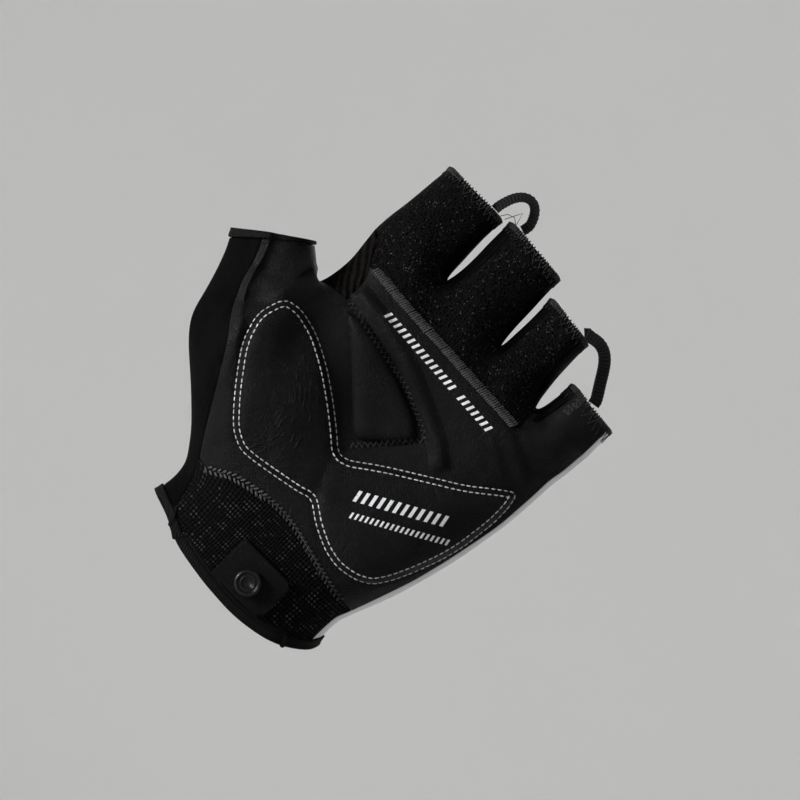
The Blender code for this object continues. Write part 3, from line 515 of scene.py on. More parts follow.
def binding_finish(name):
    """Rolled edge tape: black, matte, with faint cross ribs and lint."""
    f = Finish(name)
    x, y, z = f.parts(f.where())
    rib = f.math("SINE", (x + y * 0.8 + z * 0.25) * (math.tau / sizes().binding_rib_pitch))
    fuzz = f.noise(1300.0, detail=4.0)
    lint = f.spread(fuzz, 0.60, 0.74)
    tone = f.tones(lint * 0.5, colours().binding, 1.0, 4.0)
    f.bump(rib * 0.35 + fuzz * 0.8, 0.00025)
    return f.done(tone, 0.72, Specular_IOR_Level=0.05)


def tape_finish(name):
    """Ribbed pull tape with a painted highlight on its raised ribs and painted shade between them.
    """
    f = Finish(name)
    fuzz = f.noise(1400.0, detail=3.0)
    rib = f.node("ShaderNodeAttribute", {"attribute_name": "rib"}, {}, "Fac")
    # Painted highlight and shade: the rib attribute lightens the raised ribs and darkens the
    # hollows.
    tone = f.tones(rib, colours().tape, 0.45, 2.6)
    f.bump(fuzz, 0.00012)
    return f.done(tone, 0.58 + fuzz * 0.12, Specular_IOR_Level=0.08)


def patch_finish(name):
    """Brushed matte patch under the press stud."""
    f = Finish(name)
    nap = f.noise(1700.0, detail=5.0, rough=0.7)
    cloud = f.noise(160.0, detail=3.0)
    tone = f.tones(f.spread(nap, 0.45, 0.75), colours().patch, 0.8, 2.4)
    tone = f.mix(f.spread(cloud, 0.35, 0.7) * 0.4, tone, rgba(colours().patch, 0.6))
    f.bump(nap, 0.0003)
    return f.done(tone, 0.85, Specular_IOR_Level=0.05)


def stud_finish(name):
    """Black lacquered metal with fine turning marks and a few rubbed spots."""
    f = Finish(name)
    x, _, z = f.parts(f.where(centre=tuple(stud_centre)))
    radius = f.math("SQRT", x * x + z * z)
    turned = f.math("SINE", radius * 42000.0)
    rubbed = f.spread(f.noise(1100.0, detail=3.0), 0.58, 0.74)
    tone = f.tones(rubbed, colours().stud, 1.0, 3.0)
    f.bump(turned * 0.3 + rubbed * 0.3, 0.00003)
    return f.done(tone, 0.30 + rubbed * 0.18, Specular_IOR_Level=0.3)


def thread_finish(name, colour):
    """Twisted sewing thread."""
    f = Finish(name)
    x, y, z = f.parts(f.where())
    ply = f.math("SINE", (x * 0.7 + z * 0.7 + y) * (math.tau / sizes().thread_ply))
    fray = f.noise(900.0, detail=3.0)
    tone = f.tones(f.spread(fray, 0.35, 0.7), colour, 0.62, 1.1)
    f.bump(ply * 0.5 + fray * 0.5, 0.00008)
    return f.done(tone, 0.62 + fray * 0.15, Sheen_Weight=0.1, Sheen_Roughness=0.4)


def print_finish(name):
    """Silver transfer print, slightly crazed."""
    f = Finish(name)
    crazed = f.spread(f.cells(1500.0), 0.0, 0.05)
    worn = f.spread(f.noise(900.0, detail=4.0), 0.62, 0.74)
    tone = f.tones(worn, colours().silver, 1.0, 0.45)
    f.bump(crazed * 0.4, 0.00005)
    return f.done(tone, 0.42 + worn * 0.2, Metallic=0.25)


def stage_finish(name):
    """Pale matte studio paper."""
    f = Finish(name)
    cloud = f.noise(0.7, detail=3.0)
    tone = f.tones(cloud, colours().stage, 0.97, 1.03)
    return f.done(tone, 0.9, Specular_IOR_Level=0.1)


MAKERS = {
    "finger_knit": finger_knit_finish,
    "wrist_knit": wrist_knit_finish,
    "stretch_cloth": stretch_finish,
    "ribbed_knit": ribbed_knit_finish,
    "back_cloth": back_cloth_finish,
    "binding_cloth": binding_finish,
    "pull_tape": tape_finish,
    "brushed_patch": patch_finish,
    "black_metal": stud_finish,
    "silver_print": print_finish,
    "studio_paper": stage_finish,
}
FINISHES = {}


def make_finishes():
    """All materials, under the names that the tables use."""
    tone = colours()
    FINISHES["palm_leather"] = leather_finish("palm_leather_grain", tone.leather)
    FINISHES["pad_leather"] = leather_finish("pad_leather_grain", tone.leather, arcs=True)
    for name, maker in MAKERS.items():
        FINISHES[name] = maker(name)
    for name in ("white_thread", "grey_thread", "dark_thread", "black_thread"):
        FINISHES[name] = thread_finish(name, getattr(tone, name))


def evaluated_mesh(obj):
    """Mesh of an object with its modifiers applied."""
    graph = bpy.context.evaluated_depsgraph_get()
    graph.update()
    return bpy.data.meshes.new_from_object(obj.evaluated_get(graph))


def add_piece(name, mesh, finish, node=None):
    """Finished piece at the origin that rides with the glove."""
    mesh.materials.clear()
    mesh.materials.append(FINISHES[finish])
    mesh.shade_smooth()
    mesh.set_sharp_from_angle(angle=smooth_angle)
    obj = bpy.data.objects.new(name, mesh)
    bpy.context.scene.collection.objects.link(obj)
    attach(obj, "root")
    if node:
        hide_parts(node)
    return obj


def piece_from(name, bm, finish, node=None):
    """Finished piece from a bmesh, with its faces turned outwards."""
    bmesh.ops.recalc_face_normals(bm, faces=bm.faces[:])
    mesh = bpy.data.meshes.new(name)
    bm.to_mesh(mesh)
    bm.free()
    return add_piece(name, mesh, finish, node)


def merged_copy(name):
    """Quads of a CAD node, merged from its loose triangles."""
    bm = bmesh.new()
    bm.from_mesh(PARTS[name].data)
    bmesh.ops.remove_doubles(bm, verts=bm.verts[:], dist=weld_distance)
    bmesh.ops.join_triangles(bm, faces=bm.faces[:], angle_face_threshold=join_angle,
                             angle_shape_threshold=join_shape_angle)
    return bm


def smooth_copy(name, levels, crease):
    """Dense smooth mesh that passes through the points of a CAD node."""
    bm = merged_copy(name)
    layer = bm.edges.layers.float.new("crease_edge")
    for edge in bm.edges:
        if len(edge.link_faces) == 2 and edge.calc_face_angle() > rim_angle:
            edge[layer] = crease
    mesh = bpy.data.meshes.new(name + "_cage")
    bm.to_mesh(mesh)
    bm.free()
    targets = [vertex.co.copy() for vertex in mesh.vertices]
    obj = bpy.data.objects.new(name + "_cage", mesh)
    bpy.context.scene.collection.objects.link(obj)
    modifier = obj.modifiers.new("smooth", "SUBSURF")
    modifier.levels = 1
    for _ in range(fit_rounds):
        fitted = evaluated_mesh(obj)
        for vertex, target in zip(mesh.vertices, targets):
            vertex.co += target - fitted.vertices[vertex.index].co
        bpy.data.meshes.remove(fitted)
        mesh.update()
    modifier.levels = levels
    dense = evaluated_mesh(obj)
    bpy.data.objects.remove(obj)
    return dense


class Line:
    """Sampled line in the palm's plane with quick distances."""

    def __init__(self, points, closed=False):
        self.points = list(points)
        loop = self.points + self.points[:1] if closed else self.points
        self.samples = []
        self.tangents = []
        self.lengths = [0.0]
        for first, second in zip(loop, loop[1:]):
            length = (second - first).length
            count = max(1, round(length / line_step))
            for number in range(count):
                self.samples.append(first.lerp(second, number / count))
                self.tangents.append((second - first) / max(length, 1e-9))
                self.lengths.append(self.lengths[-1] + length / count)
        self.samples.append(loop[-1])
        self.tangents.append(self.tangents[-1])
        self.length = self.lengths[-1]
        self.tree = KDTree(len(self.samples))
        for number, sample in enumerate(self.samples):
            self.tree.insert((sample.x, sample.y, 0.0), number)
        self.tree.balance()

    def distance(self, x, z):
        """Distance from a place to the line."""
        return self.tree.find((x, z, 0.0))[2]

    def nearest(self, x, z):
        """Point of the line that is nearest to a place."""
        return self.samples[self.tree.find((x, z, 0.0))[1]]

    def at(self, travelled):
        """Point and direction at a distance along the line."""
        low, high = 0, len(self.samples) - 1
        while high - low > 1:
            middle = (low + high) // 2
            if self.lengths[middle] > travelled:
                high = middle
            else:
                low = middle
        return self.samples[low], self.tangents[low]

    def shifted(self, amount):
        """Points of the line moved sideways, to the right of its direction."""
        count = max(8, round(self.length / shift_step))
        moved = []
        for number in range(count + 1):
            travelled = self.length * number / count
            before = self.at(max(0.0, travelled - shift_reach))[0]
            point = self.at(travelled)[0]
            after = self.at(min(self.length, travelled + shift_reach))[0]
            along = (after - before).normalized()
            moved.append(point + Vector((along.y, -along.x)) * amount)
        return moved


def softened(points, rounds=2, closed=True):
    """Line with its corners cut."""
    for _ in range(rounds):
        pairs = zip(points, points[1:] + points[:1]) if closed else zip(points, points[1:])
        cut = []
        for first, second in pairs:
            cut.append(first.lerp(second, corner_share))
            cut.append(first.lerp(second, 1.0 - corner_share))
        points = cut if closed else [points[0]] + cut + [points[-1]]
    return points


def is_inside(place, outline):
    """Whether a place lies inside a closed outline."""
    inside = False
    for first, second in zip(outline, outline[1:] + outline[:1]):
        if (first.y > place.y) != (second.y > place.y):
            crossing = first.x + (place.y - first.y) / (second.y - first.y) * (second.x - first.x)
            if place.x < crossing:
                inside = not inside
    return inside


class Cover:
    """Outer faces of finished pieces, to lay pads, threads and prints on."""

    def __init__(self, objects):
        bm = bmesh.new()
        for obj in objects:
            bm.from_mesh(obj.data)
        self.tree = BVHTree.FromBMesh(bm)
        bm.free()

    def hit(self, x, z):
        """First point on the front at one place in the palm's plane, and its normal."""
        point, normal, _, _ = self.tree.ray_cast(Vector((x, ray_start, z)), Vector((0.0, 1.0, 0.0)))
        return point, normal

    def front(self, x, z, reach=ray_reach):
        """Point and evened normal on the front at one place in the palm's plane."""
        found = [self.hit(x + dx, z + dz) for dx, dz in
                 ((0, 0), (reach, 0), (-reach, 0), (0, reach), (0, -reach))]
        found = [pair for pair in found if pair[0] is not None]
        if not found:
            return self.near(Vector((x, front_depth, z)))
        nearest = min(pair[0].y for pair in found)
        kept = [pair for pair in found if pair[0].y < nearest + layer_depth]
        normal = sum((pair[1] for pair in kept), Vector()).normalized()
        point = kept[0][0].copy()
        if found[0][0].y > nearest + layer_depth:
            point.x = x
            point.z = z
        return point, normal

    def near(self, place):
        """Nearest point and its normal."""
        point, normal, _, _ = self.tree.find_nearest(place)
        return point, normal

    def laid(self, spots, lift):
        """Path over the front through places in the palm's plane, lifted off the surface."""
        found = [self.front(spot.x, spot.y) for spot in spots]
        return [point + normal * lift for point, normal in found]


def pressed(mesh, lines):
    """Folds and stitched channels pressed into the front of a dense mesh."""
    normals = [vertex.normal.copy() for vertex in mesh.vertices]
    for vertex, normal in zip(mesh.vertices, normals):
        if normal.y > -0.1:
            continue
        depth = 0.0
        for line, half_width, amount in lines:
            away = line.distance(vertex.co.x, vertex.co.z) / half_width
            if away < 3.0:
                depth += amount * math.exp(-away * away)
        vertex.co -= normal * depth
    mesh.update()


def carpal_rows():
    """Inner and outer stitch row of the heel pad."""
    outline = Line(softened(places(CARPAL_PAD)), closed=True)
    return [Line(outline.shifted(-row_inset - gap)) for gap in (0.0, sizes().row_gap)]


def channel_lines():
    """Lines that are pressed into the palm leather, with half width and depth."""
    inner, outer = carpal_rows()
    lines = [(inner, *INNER_CHANNEL), (outer, *OUTER_CHANNEL),
             (Line(places(TRIANGLE_SEAM)), *TRIANGLE_CHANNEL)]
    for x1, z1, x2, z2, half_width, depth in FOLDS:
        lines.append((Line(places(((x1, z1), (x2, z2)))), half_width * MM, depth * MM))
    return lines


SHELL = []


def make_shell():
    """Leather, knit and cloth panels, and the rolled edges."""
    lines = channel_lines()
    noise.seed_set(ripple_seed)
    for node, row in PANELS.items():
        panel = named(PANEL_COLUMNS, row)
        mesh = smooth_copy(node, panel["levels"], panel["crease"])
        if node == "palm_leather":
            pressed(mesh, lines)
        for vertex in mesh.vertices:
            vertex.co += noise.noise_vector(vertex.co / ripple_size) * ripple_height
        mesh.update()
        SHELL.append(add_piece(panel["piece"], mesh, panel["finish"], node))


def ridge_outline():
    """Outline of the padded ridge, which fades at its lower end."""
    spine = Line(softened(places(RIDGE), closed=False))
    left = spine.shifted(ridge_half_width)
    right = spine.shifted(-ridge_half_width)
    return softened(left + right[::-1], 1)


def pad_outlines():
    """Closed outline of each finished pad in the palm's plane."""
    return {
        "heel_pad": softened(places(CARPAL_PAD)),
        "triangle_pad": softened(places(PALM_PAD)),
        "ridge_pad": ridge_outline(),
    }


def pad_height(kind, share):
    """Height of a pad's crown at a share of its shoulder's width."""
    share = min(1.0, share)
    if kind == "ridge_pad":
        return share * share * (3.0 - 2.0 * share)
    return math.sqrt(1.0 - (1.0 - share) ** 2)


def thickened(bm, layer):
    """Closes a sheet with a copy of its faces, moved by what a layer of its points says."""
    grown = bmesh.ops.extrude_face_region(bm, geom=bm.faces[:], use_keep_orig=True)
    for item in grown["geom"]:
        if isinstance(item, bmesh.types.BMVert):
            item.co += item[layer]
    bm.verts.layers.float_vector.remove(layer)


def turned(profile, steps):
    """Profile of radius and height, spun about the upright axis."""
    bm = bmesh.new()
    corners = [bm.verts.new((radius, 0.0, height)) for radius, height in profile]
    edges = [bm.edges.new(pair) for pair in zip(corners, corners[1:])]
    bmesh.ops.spin(bm, geom=corners + edges, cent=(0, 0, 0), axis=(0, 0, 1), angle=math.tau,
                   steps=steps, use_merge=True)
    bmesh.ops.remove_doubles(bm, verts=bm.verts[:], dist=weld_distance)
    return bm


def make_pad(name, cover, outline):
    """Crowned pad that starts just under the leather at its outline."""
    pad = named(PAD_COLUMNS, PADS[name])
    line = Line(outline, closed=True)
    low = Vector((min(p.x for p in outline), min(p.y for p in outline)))
    high = Vector((max(p.x for p in outline), max(p.y for p in outline)))
    half = (high - low) / 2
    middle = (high + low) / 2
    bm = bmesh.new()
    place = (Matrix.Translation((middle.x, 0.0, middle.y))
             @ Matrix.Rotation(math.radians(90.0), 4, "X")
             @ Matrix.Diagonal((half.x, half.y, 1.0, 1.0)))
    bmesh.ops.create_grid(bm, x_segments=round(2 * half.x / pad_step),
                          y_segments=round(2 * half.y / pad_step), size=1.0, matrix=place)
    outside = []
    for face in bm.faces:
        centre = face.calc_center_median()
        if not is_inside(Vector((centre.x, centre.z)), outline):
            outside.append(face)
    bmesh.ops.delete(bm, geom=outside, context="FACES")
    for vertex in bm.verts:
        if vertex.is_boundary:
            nearest = line.nearest(vertex.co.x, vertex.co.z)
            vertex.co.x, vertex.co.z = nearest
    inner = [vertex for vertex in bm.verts if not vertex.is_boundary]
    for _ in range(2):
        bmesh.ops.smooth_vert(bm, verts=inner, factor=0.5, use_axis_x=True, use_axis_z=True)
    layer = bm.verts.layers.float_vector.new("move")
    for vertex in bm.verts:
        x, z = vertex.co.x, vertex.co.z
        crown = pad_height(name, line.distance(x, z) / pad["shoulder"]) * pad["height"]
        point, normal = cover.front(x, z, pad_reach)
        vertex.co = point + normal * (crown - pad_sink)
        vertex[layer] = -normal * (crown + pad_floor)
    thickened(bm, layer)
    obj = piece_from(name, bm, "pad_leather", pad["node"])
    return obj


def add_dash(bm, point, along, normal, length, radius):
    """One short stitch, as a small stretched ball that lies on the surface."""
    side = normal.cross(along).normalized()
    up = along.cross(side).normalized()
    turn = Matrix((side * radius, up * radius * 0.85, along * length * 0.5)).transposed().to_4x4()
    bmesh.ops.create_uvsphere(bm, u_segments=6, v_segments=5, radius=1.0,
                              matrix=Matrix.Translation(point) @ turn)


def stitch_row(bm, line, cover, length, pitch, radius, lift):
    """Row of dashes along a line in the palm's plane."""
    count = round(line.length / pitch)
    for number in range(count):
        middle, _ = line.at(line.length * (number + 0.5) / count)
        ahead = line.at(min(line.length, line.length * (number + 0.7) / count))[0]
        behind = line.at(line.length * (number + 0.3) / count)[0]
        point, normal = cover.front(middle.x, middle.y)
        first, _ = cover.front(behind.x, behind.y)
        second, _ = cover.front(ahead.x, ahead.y)
        if (second - first).length > 3 * pitch or (second - first).length < 1e-5:
            continue
        add_dash(bm, point + normal * lift, (second - first).normalized(), normal, length, radius)


def threads(name, paths, radius, finish):
    """Piece of round threads that follow the given paths."""
    curve = bpy.data.curves.new(name, "CURVE")
    curve.dimensions = "3D"
    curve.bevel_depth = radius
    curve.bevel_resolution = 1
    curve.use_fill_caps = True
    for path in paths:
        spline = curve.splines.new("POLY")
        spline.points.add(len(path) - 1)
        for point, place in zip(spline.points, path):
            point.co = (*place, 1.0)
    guide = bpy.data.objects.new(name + "_guide", curve)
    bpy.context.scene.collection.objects.link(guide)
    mesh = evaluated_mesh(guide)
    bpy.data.objects.remove(guide)
    return add_piece(name, mesh, finish)


def seam_height(lower, upper, x, low, high):
    """Height where the front changes from one panel to the next at one place across."""
    for _ in range(16):
        middle = (low + high) / 2
        first, _ = lower.hit(x, middle)
        second, _ = upper.hit(x, middle)
        under = first is not None and (second is None or first.y < second.y)
        low, high = (middle, high) if under else (low, middle)
    return (low + high) / 2


def seam_line(lower, upper, row, steps=48):
    """Line of the seam between two panels across the front."""
    seam = named(SEAM_COLUMNS, row)
    lower = Cover([lower])
    upper = Cover([upper])
    points = []
    for number in range(steps + 1):
        x = seam["start"] + (seam["end"] - seam["start"]) * number / steps
        points.append(Vector((x, seam_height(lower, upper, x, seam["low"], seam["high"]))))
    for _ in range(3):
        middles = [(a + b * 2 + c) / 4 for a, b, c in zip(points, points[1:], points[2:])]
        points = [points[0]] + middles + [points[-1]]
    return Line(points)


def overlock(line, cover, width):
    """Paths of slanted strokes that cross a seam and rise over it."""
    paths = []
    count = round(line.length / stroke_pitch)
    for number in range(count):
        wander = noise.noise(Vector((number * 0.73, width * 900, 0.3))) * stroke_jitter
        middle, along = line.at(line.length * (number + 0.5) / count)
        across = Vector((-along.y, along.x))
        path = []
        for share in STROKE_SHARES:
            spot = middle + across * share * (width + wander) + along * stroke_slant * share * 2
            point, normal = cover.front(spot.x, spot.y)
            rise = stroke_lift * math.sqrt(max(0.0, 1.0 - (2 * share) ** 2)) - stroke_sink
            path.append(point + normal * rise)
        paths.append(path)
    return paths


def side_roll_path(line, cover, steps=24):
    """Path of a rolled strip that sinks into the cloth at both ends."""
    path = []
    for number in range(steps + 1):
        spot, _ = line.at(line.length * number / steps)
        point, normal = cover.front(spot.x, spot.y)
        sunk = 0.0004 + 0.0010 * abs(2 * number / steps - 1.0) ** 4
        path.append(point - normal * sunk)
    return path


def braid(bm, line, cover, width, radius, first_share, last_share):
    """Two rows of slanted beads that look plaited."""
    count = round(line.length * (last_share - first_share) / braid_pitch)
    for number in range(count):
        share = first_share + (last_share - first_share) * (number + 0.5) / count
        middle, along = line.at(line.length * share)
        across = Vector((-along.y, along.x))
        for side in (-1, 1):
            spot = middle + across * side * width * 0.25 + along * side * braid_pitch * 0.25
            point, normal = cover.front(spot.x, spot.y)
            way = along * 0.75 + across * side * 0.66
            way = Vector((way.x, 0.0, way.y))
            way = (way - normal * way.dot(normal)).normalized()
            add_dash(bm, point + normal * radius * 0.6, way, normal, width * 0.62, radius)


def rim_point(rim, angle, down):
    """Point beside a finger's rim at an angle round it and a distance below its edge."""
    cosine, sine = math.cos(angle), math.sin(angle)
    power = 2.0 / section_power
    across = math.copysign(abs(cosine) ** power, cosine)
    depth = math.copysign(abs(sine) ** power, sine)
    x = (rim["left"] + rim["right"]) / 2 + across * (rim["right"] - rim["left"]) / 2
    y = (rim["front"] + rim["back"]) / 2 - depth * (rim["back"] - rim["front"]) / 2
    share = (x - rim["left"]) / (rim["right"] - rim["left"])
    z = rim["left_z"] + (rim["right_z"] - rim["left_z"]) * share
    return Vector((x, y, z - down)) * MM


def way_round(rim):
    """Rough distance round a finger's rim."""
    return (rim["right"] - rim["left"]) * rim_share + (rim["back"] - rim["front"]) * rim_share


def cuff_path(rim, cover, deep):
    """Zigzag of thread round one cuff."""
    count = 2 * round(way_round(rim) / cuff_pitch / 2)
    path = []
    for number in range(count + 1):
        angle = math.tau * number / count
        down = deep if number % 2 else cuff_top
        wander = noise.noise(Vector((number * 0.9, rim["left"], 0.0))) * cuff_wander
        point, normal = cover.near(rim_point(rim, angle, down + wander))
        path.append(point + normal * thread_lift)
    return path


def rim_loops(rim, cover):
    """Small loops of thread over the edge of one cuff."""
    count = round(way_round(rim) / loop_pitch)
    paths = []
    for number in range(count):
        wander = noise.noise(Vector((number * 1.7, 0.0, rim["left"])))
        angle = math.tau * (number + 0.3 * wander) / count
        outer, normal = cover.near(rim_point(rim, angle, 1.3))
        edge, _ = cover.near(rim_point(rim, angle, -0.2))
        centre = rim_point(rim, angle, 1.0)
        inward = -Vector((normal.x, normal.y, 0.0)).normalized()
        paths.append([outer + normal * thread_lift, edge.lerp(centre, 0.1) + normal * 0.0003,
                      edge + Vector((0.0, 0.0, 0.00035)) + inward * 0.0005,
                      edge + inward * 0.0013 - Vector((0.0, 0.0, 0.0004))])
    return paths


def tape_stations(name):
    """Centre, half width and half thickness of a pull loop's tape along its way."""
    bm = merged_copy(name)
    ends = sorted((face for face in bm.faces if is_cap(face)),
                  key=lambda face: face.calc_area() / face.calc_perimeter() ** 2)
    ring = list(ends[0].verts)
    seen = set(ring)
    stations = [[vertex.co.copy() for vertex in ring]]
    while True:
        following = []
        for vertex in ring:
            options = [edge.other_vert(vertex) for edge in vertex.link_edges]
            options = [other for other in options if other not in seen]
            if options:
                following.append(min(options, key=lambda other: (other.co - vertex.co).length))
        if len(set(following)) < 4:
            break
        ring = following
        seen.update(ring)
        stations.append([vertex.co.copy() for vertex in ring])
    bm.free()
    result = []
    for corners in stations:
        centre = sum(corners, Vector()) / 4
        first = (corners[1] - corners[0] + corners[2] - corners[3]) / 4
        second = (corners[2] - corners[1] + corners[3] - corners[0]) / 4
        wide, thin = (first, second) if first.length > second.length else (second, first)
        result.append((centre, wide, thin))
    return result


def is_cap(face):
    """Whether a face closes the end of a tape."""
    if len(face.verts) != 4:
        return False
    sides = [edge.calc_length() for edge in face.edges]
    corners = all(len(vertex.link_edges) == 3 for vertex in face.verts)
    return corners and min(sides) < cap_thickness and max(sides) < cap_width


def make_tape(name, node):
    """Ribbed tape with rounded edges along a pull loop's way."""
    stations = tape_stations(node)
    centres = [station[0] for station in stations]
    travelled = [0.0]
    for first, second in zip(centres, centres[1:]):
        travelled.append(travelled[-1] + (second - first).length)
    rib = sizes().tape_rib_pitch
    count = 4 * round(travelled[-1] / rib)
    bm = bmesh.new()
    layer = bm.verts.layers.float.new("rib")
    rings = []
    number = 0
    for step in range(count + 1):
        goal = travelled[-1] * step / count
        while number < len(travelled) - 2 and travelled[number + 1] < goal:
            number += 1
        share = (goal - travelled[number]) / (travelled[number + 1] - travelled[number])
        pairs = zip(stations[number], stations[number + 1])
        centre, wide, thin = (before.lerp(after, share) for before, after in pairs)
        swell = 0.5 + 0.5 * math.cos(math.tau * step / 4)
        wide = wide * (wide_least + wide_swell * swell)
        thin = thin * (thin_least + thin_swell * swell)
        along = wide.cross(thin).normalized() * thin.length
        turn = Matrix((wide, thin, along)).transposed().to_4x4()
        made = bmesh.ops.create_circle(bm, segments=tape_corners, radius=1.0,
                                       cap_ends=step in (0, count),
                                       matrix=Matrix.Translation(centre) @ turn)
        for vertex in made["verts"]:
            # The swell of each rib is stored for the tape finish's painted highlight and shade.
            vertex[layer] = swell
            away = vertex.co - centre
            across = away.dot(wide) / wide.length_squared
            fuller = math.copysign(abs(across) ** tape_fullness, across)
            vertex.co += wide * (fuller - across)
        rings.append(made["verts"])
    for first, second in zip(rings, rings[1:]):
        edges = {edge for vertex in first + second for edge in vertex.link_edges
                 if edge.other_vert(vertex) in first or edge.other_vert(vertex) in second}
        ring_edges = [edge for edge in edges
                      if (edge.verts[0] in first) == (edge.verts[1] in first)]
        bmesh.ops.bridge_loops(bm, edges=ring_edges)
    return piece_from(name, bm, "pull_tape", node)


def make_stud():
    """Turned press stud socket, with its spring ring and recess."""
    bm = turned(places(STUD_PROFILE), stud_steps)
    place = Matrix.Translation(stud_centre) @ stud_axis.to_track_quat("Z", "Y").to_matrix().to_4x4()
    bmesh.ops.transform(bm, matrix=place, verts=bm.verts[:])
    return piece_from("press_stud", bm, "black_metal", "snap_socket")


def make_patch():
    """Brushed patch at the hem that carries the press stud."""
    mesh = smooth_copy("snap_tab", 2, 0.8)
    return add_piece("stud_patch", mesh, "brushed_patch", "snap_tab")


def print_bars(cover):
    """Slanted silver bars in rows where the palm is printed."""
    bm = bmesh.new()
    layer = bm.verts.layers.float_vector.new("move")
    for row in PRINTS:
        bars = named(PRINT_COLUMNS, row)
        start, end = places((bars["start"], bars["end"]))
        along = (end - start).normalized()
        across = Vector((-along.y, along.x))
        count = int((end - start).length / (bars["pitch"] * MM))
        for number in range(count):
            if number == bars["gap_at"]:
                continue
            foot = start + along * (number * bars["pitch"] * MM)
            made = bmesh.ops.create_grid(bm, x_segments=2, y_segments=4, size=1.0)
            for vertex in made["verts"]:
                side = (vertex.co.x + 1) / 2 * bars["bar"] * MM
                rise = (vertex.co.y + 1) / 2 * bars["height"] * MM
                place = foot + along * (side + rise * print_slant) + across * rise
                point, normal = cover.front(place.x, place.y)
                vertex.co = point + normal * print_lift
                vertex[layer] = -normal * print_thickness
    thickened(bm, layer)
    return piece_from("printed_bars", bm, "silver_print")


def length_property(name, description, default):
    """Length that a user may change."""
    return bpy.props.FloatProperty(name=name, description=description, default=default,
                                   unit="LENGTH", precision=5)


class GLOVE_PG_sizes(bpy.types.PropertyGroup):
    stitch_length: length_property(
        "Stitch length", "Length of one stitch round the heel pad", 0.00150)
    stitch_pitch: length_property("Stitch pitch", "Distance from stitch to stitch", 0.00192)
    stitch_radius: length_property(
        "Stitch radius", "Half the thickness of the heel pad's thread", 0.00023)
    row_gap: length_property("Row gap", "Distance between the two stitch rows", 0.00175)
    knuckle_seam_width: length_property(
        "Knuckle seam width", "Width of the overlocked knuckle seam", 0.0024)
    leather_grain: length_property("Leather grain", "Size of one pebble of the leather", 0.00075)
    finger_knit_pitch: length_property(
        "Finger knit pitch", "Distance between the holes of the finger knit", 0.00135)
    wrist_knit_pitch: length_property(
        "Wrist knit pitch", "Distance between the holes of the wrist knit", 0.00185)
    twill_pitch: length_property(
        "Twill pitch", "Distance between the ribs of the stretch cloth", 0.00060)
    web_rib_pitch: length_property(
        "Web rib pitch", "Distance between the ribs of the web's knit", 0.00210)
    back_weave_pitch: length_property(
        "Back weave pitch", "Distance between the threads of the back", 0.00080)
    binding_rib_pitch: length_property(
        "Edge rib pitch", "Distance between the ribs of the rolled edges", 0.00070)
    tape_rib_pitch: length_property(
        "Tape rib pitch", "Distance between the ribs of the pull loops", 0.00110)
    thread_ply: length_property(
        "Thread twist", "Distance between the turns of a twisted thread", 0.00045)


def colour_property(name, description, default):
    """Colour that a user may change."""
    return bpy.props.FloatVectorProperty(name=name, description=description, default=default,
                                         subtype="COLOR", size=3, min=0.0, max=1.0)


class GLOVE_PG_colours(bpy.types.PropertyGroup):
    leather: colour_property("Leather", "Colour of the leather", (0.0032, 0.0032, 0.0034))
    knit: colour_property("Knit", "Colour of the knit's yarn", (0.0017, 0.0017, 0.0018))
    knit_speck: colour_property(
        "Knit specks", "Colour of the light yarn specks", (0.070, 0.070, 0.070))
    stretch: colour_property(
        "Stretch cloth", "Colour of the stretch cloth", (0.0018, 0.0018, 0.0019))
    gusset: colour_property("Web knit", "Colour of the web's ribbed knit", (0.0034, 0.0029, 0.0027))
    back: colour_property("Back", "Colour of the back cloth", (0.74, 0.75, 0.77))
    binding: colour_property("Rolled edges", "Colour of the edge tape", (0.0040, 0.0040, 0.0043))
    tape: colour_property("Pull tape", "Colour of the pull loops", (0.0050, 0.0050, 0.0052))
    patch: colour_property("Patch", "Colour of the stud's patch", (0.0055, 0.0055, 0.0058))
    stud: colour_property("Press stud", "Colour of the press stud", (0.0030, 0.0030, 0.0030))
    white_thread: colour_property(
        "Pad thread", "Colour of the heel pad's stitches", (0.60, 0.60, 0.58))
    grey_thread: colour_property("Seam thread", "Colour of the knuckle seam", (0.034, 0.034, 0.034))
    dark_thread: colour_property("Dark thread", "Colour of the darker seams", (0.008, 0.008, 0.008))
    black_thread: colour_property(
        "Black thread", "Colour of the black seams", (0.0050, 0.0050, 0.0050))
    silver: colour_property("Print", "Colour of the printed bars", (0.78, 0.78, 0.80))
    stage: colour_property("Stage", "Colour of the studio paper", (0.80, 0.80, 0.79))


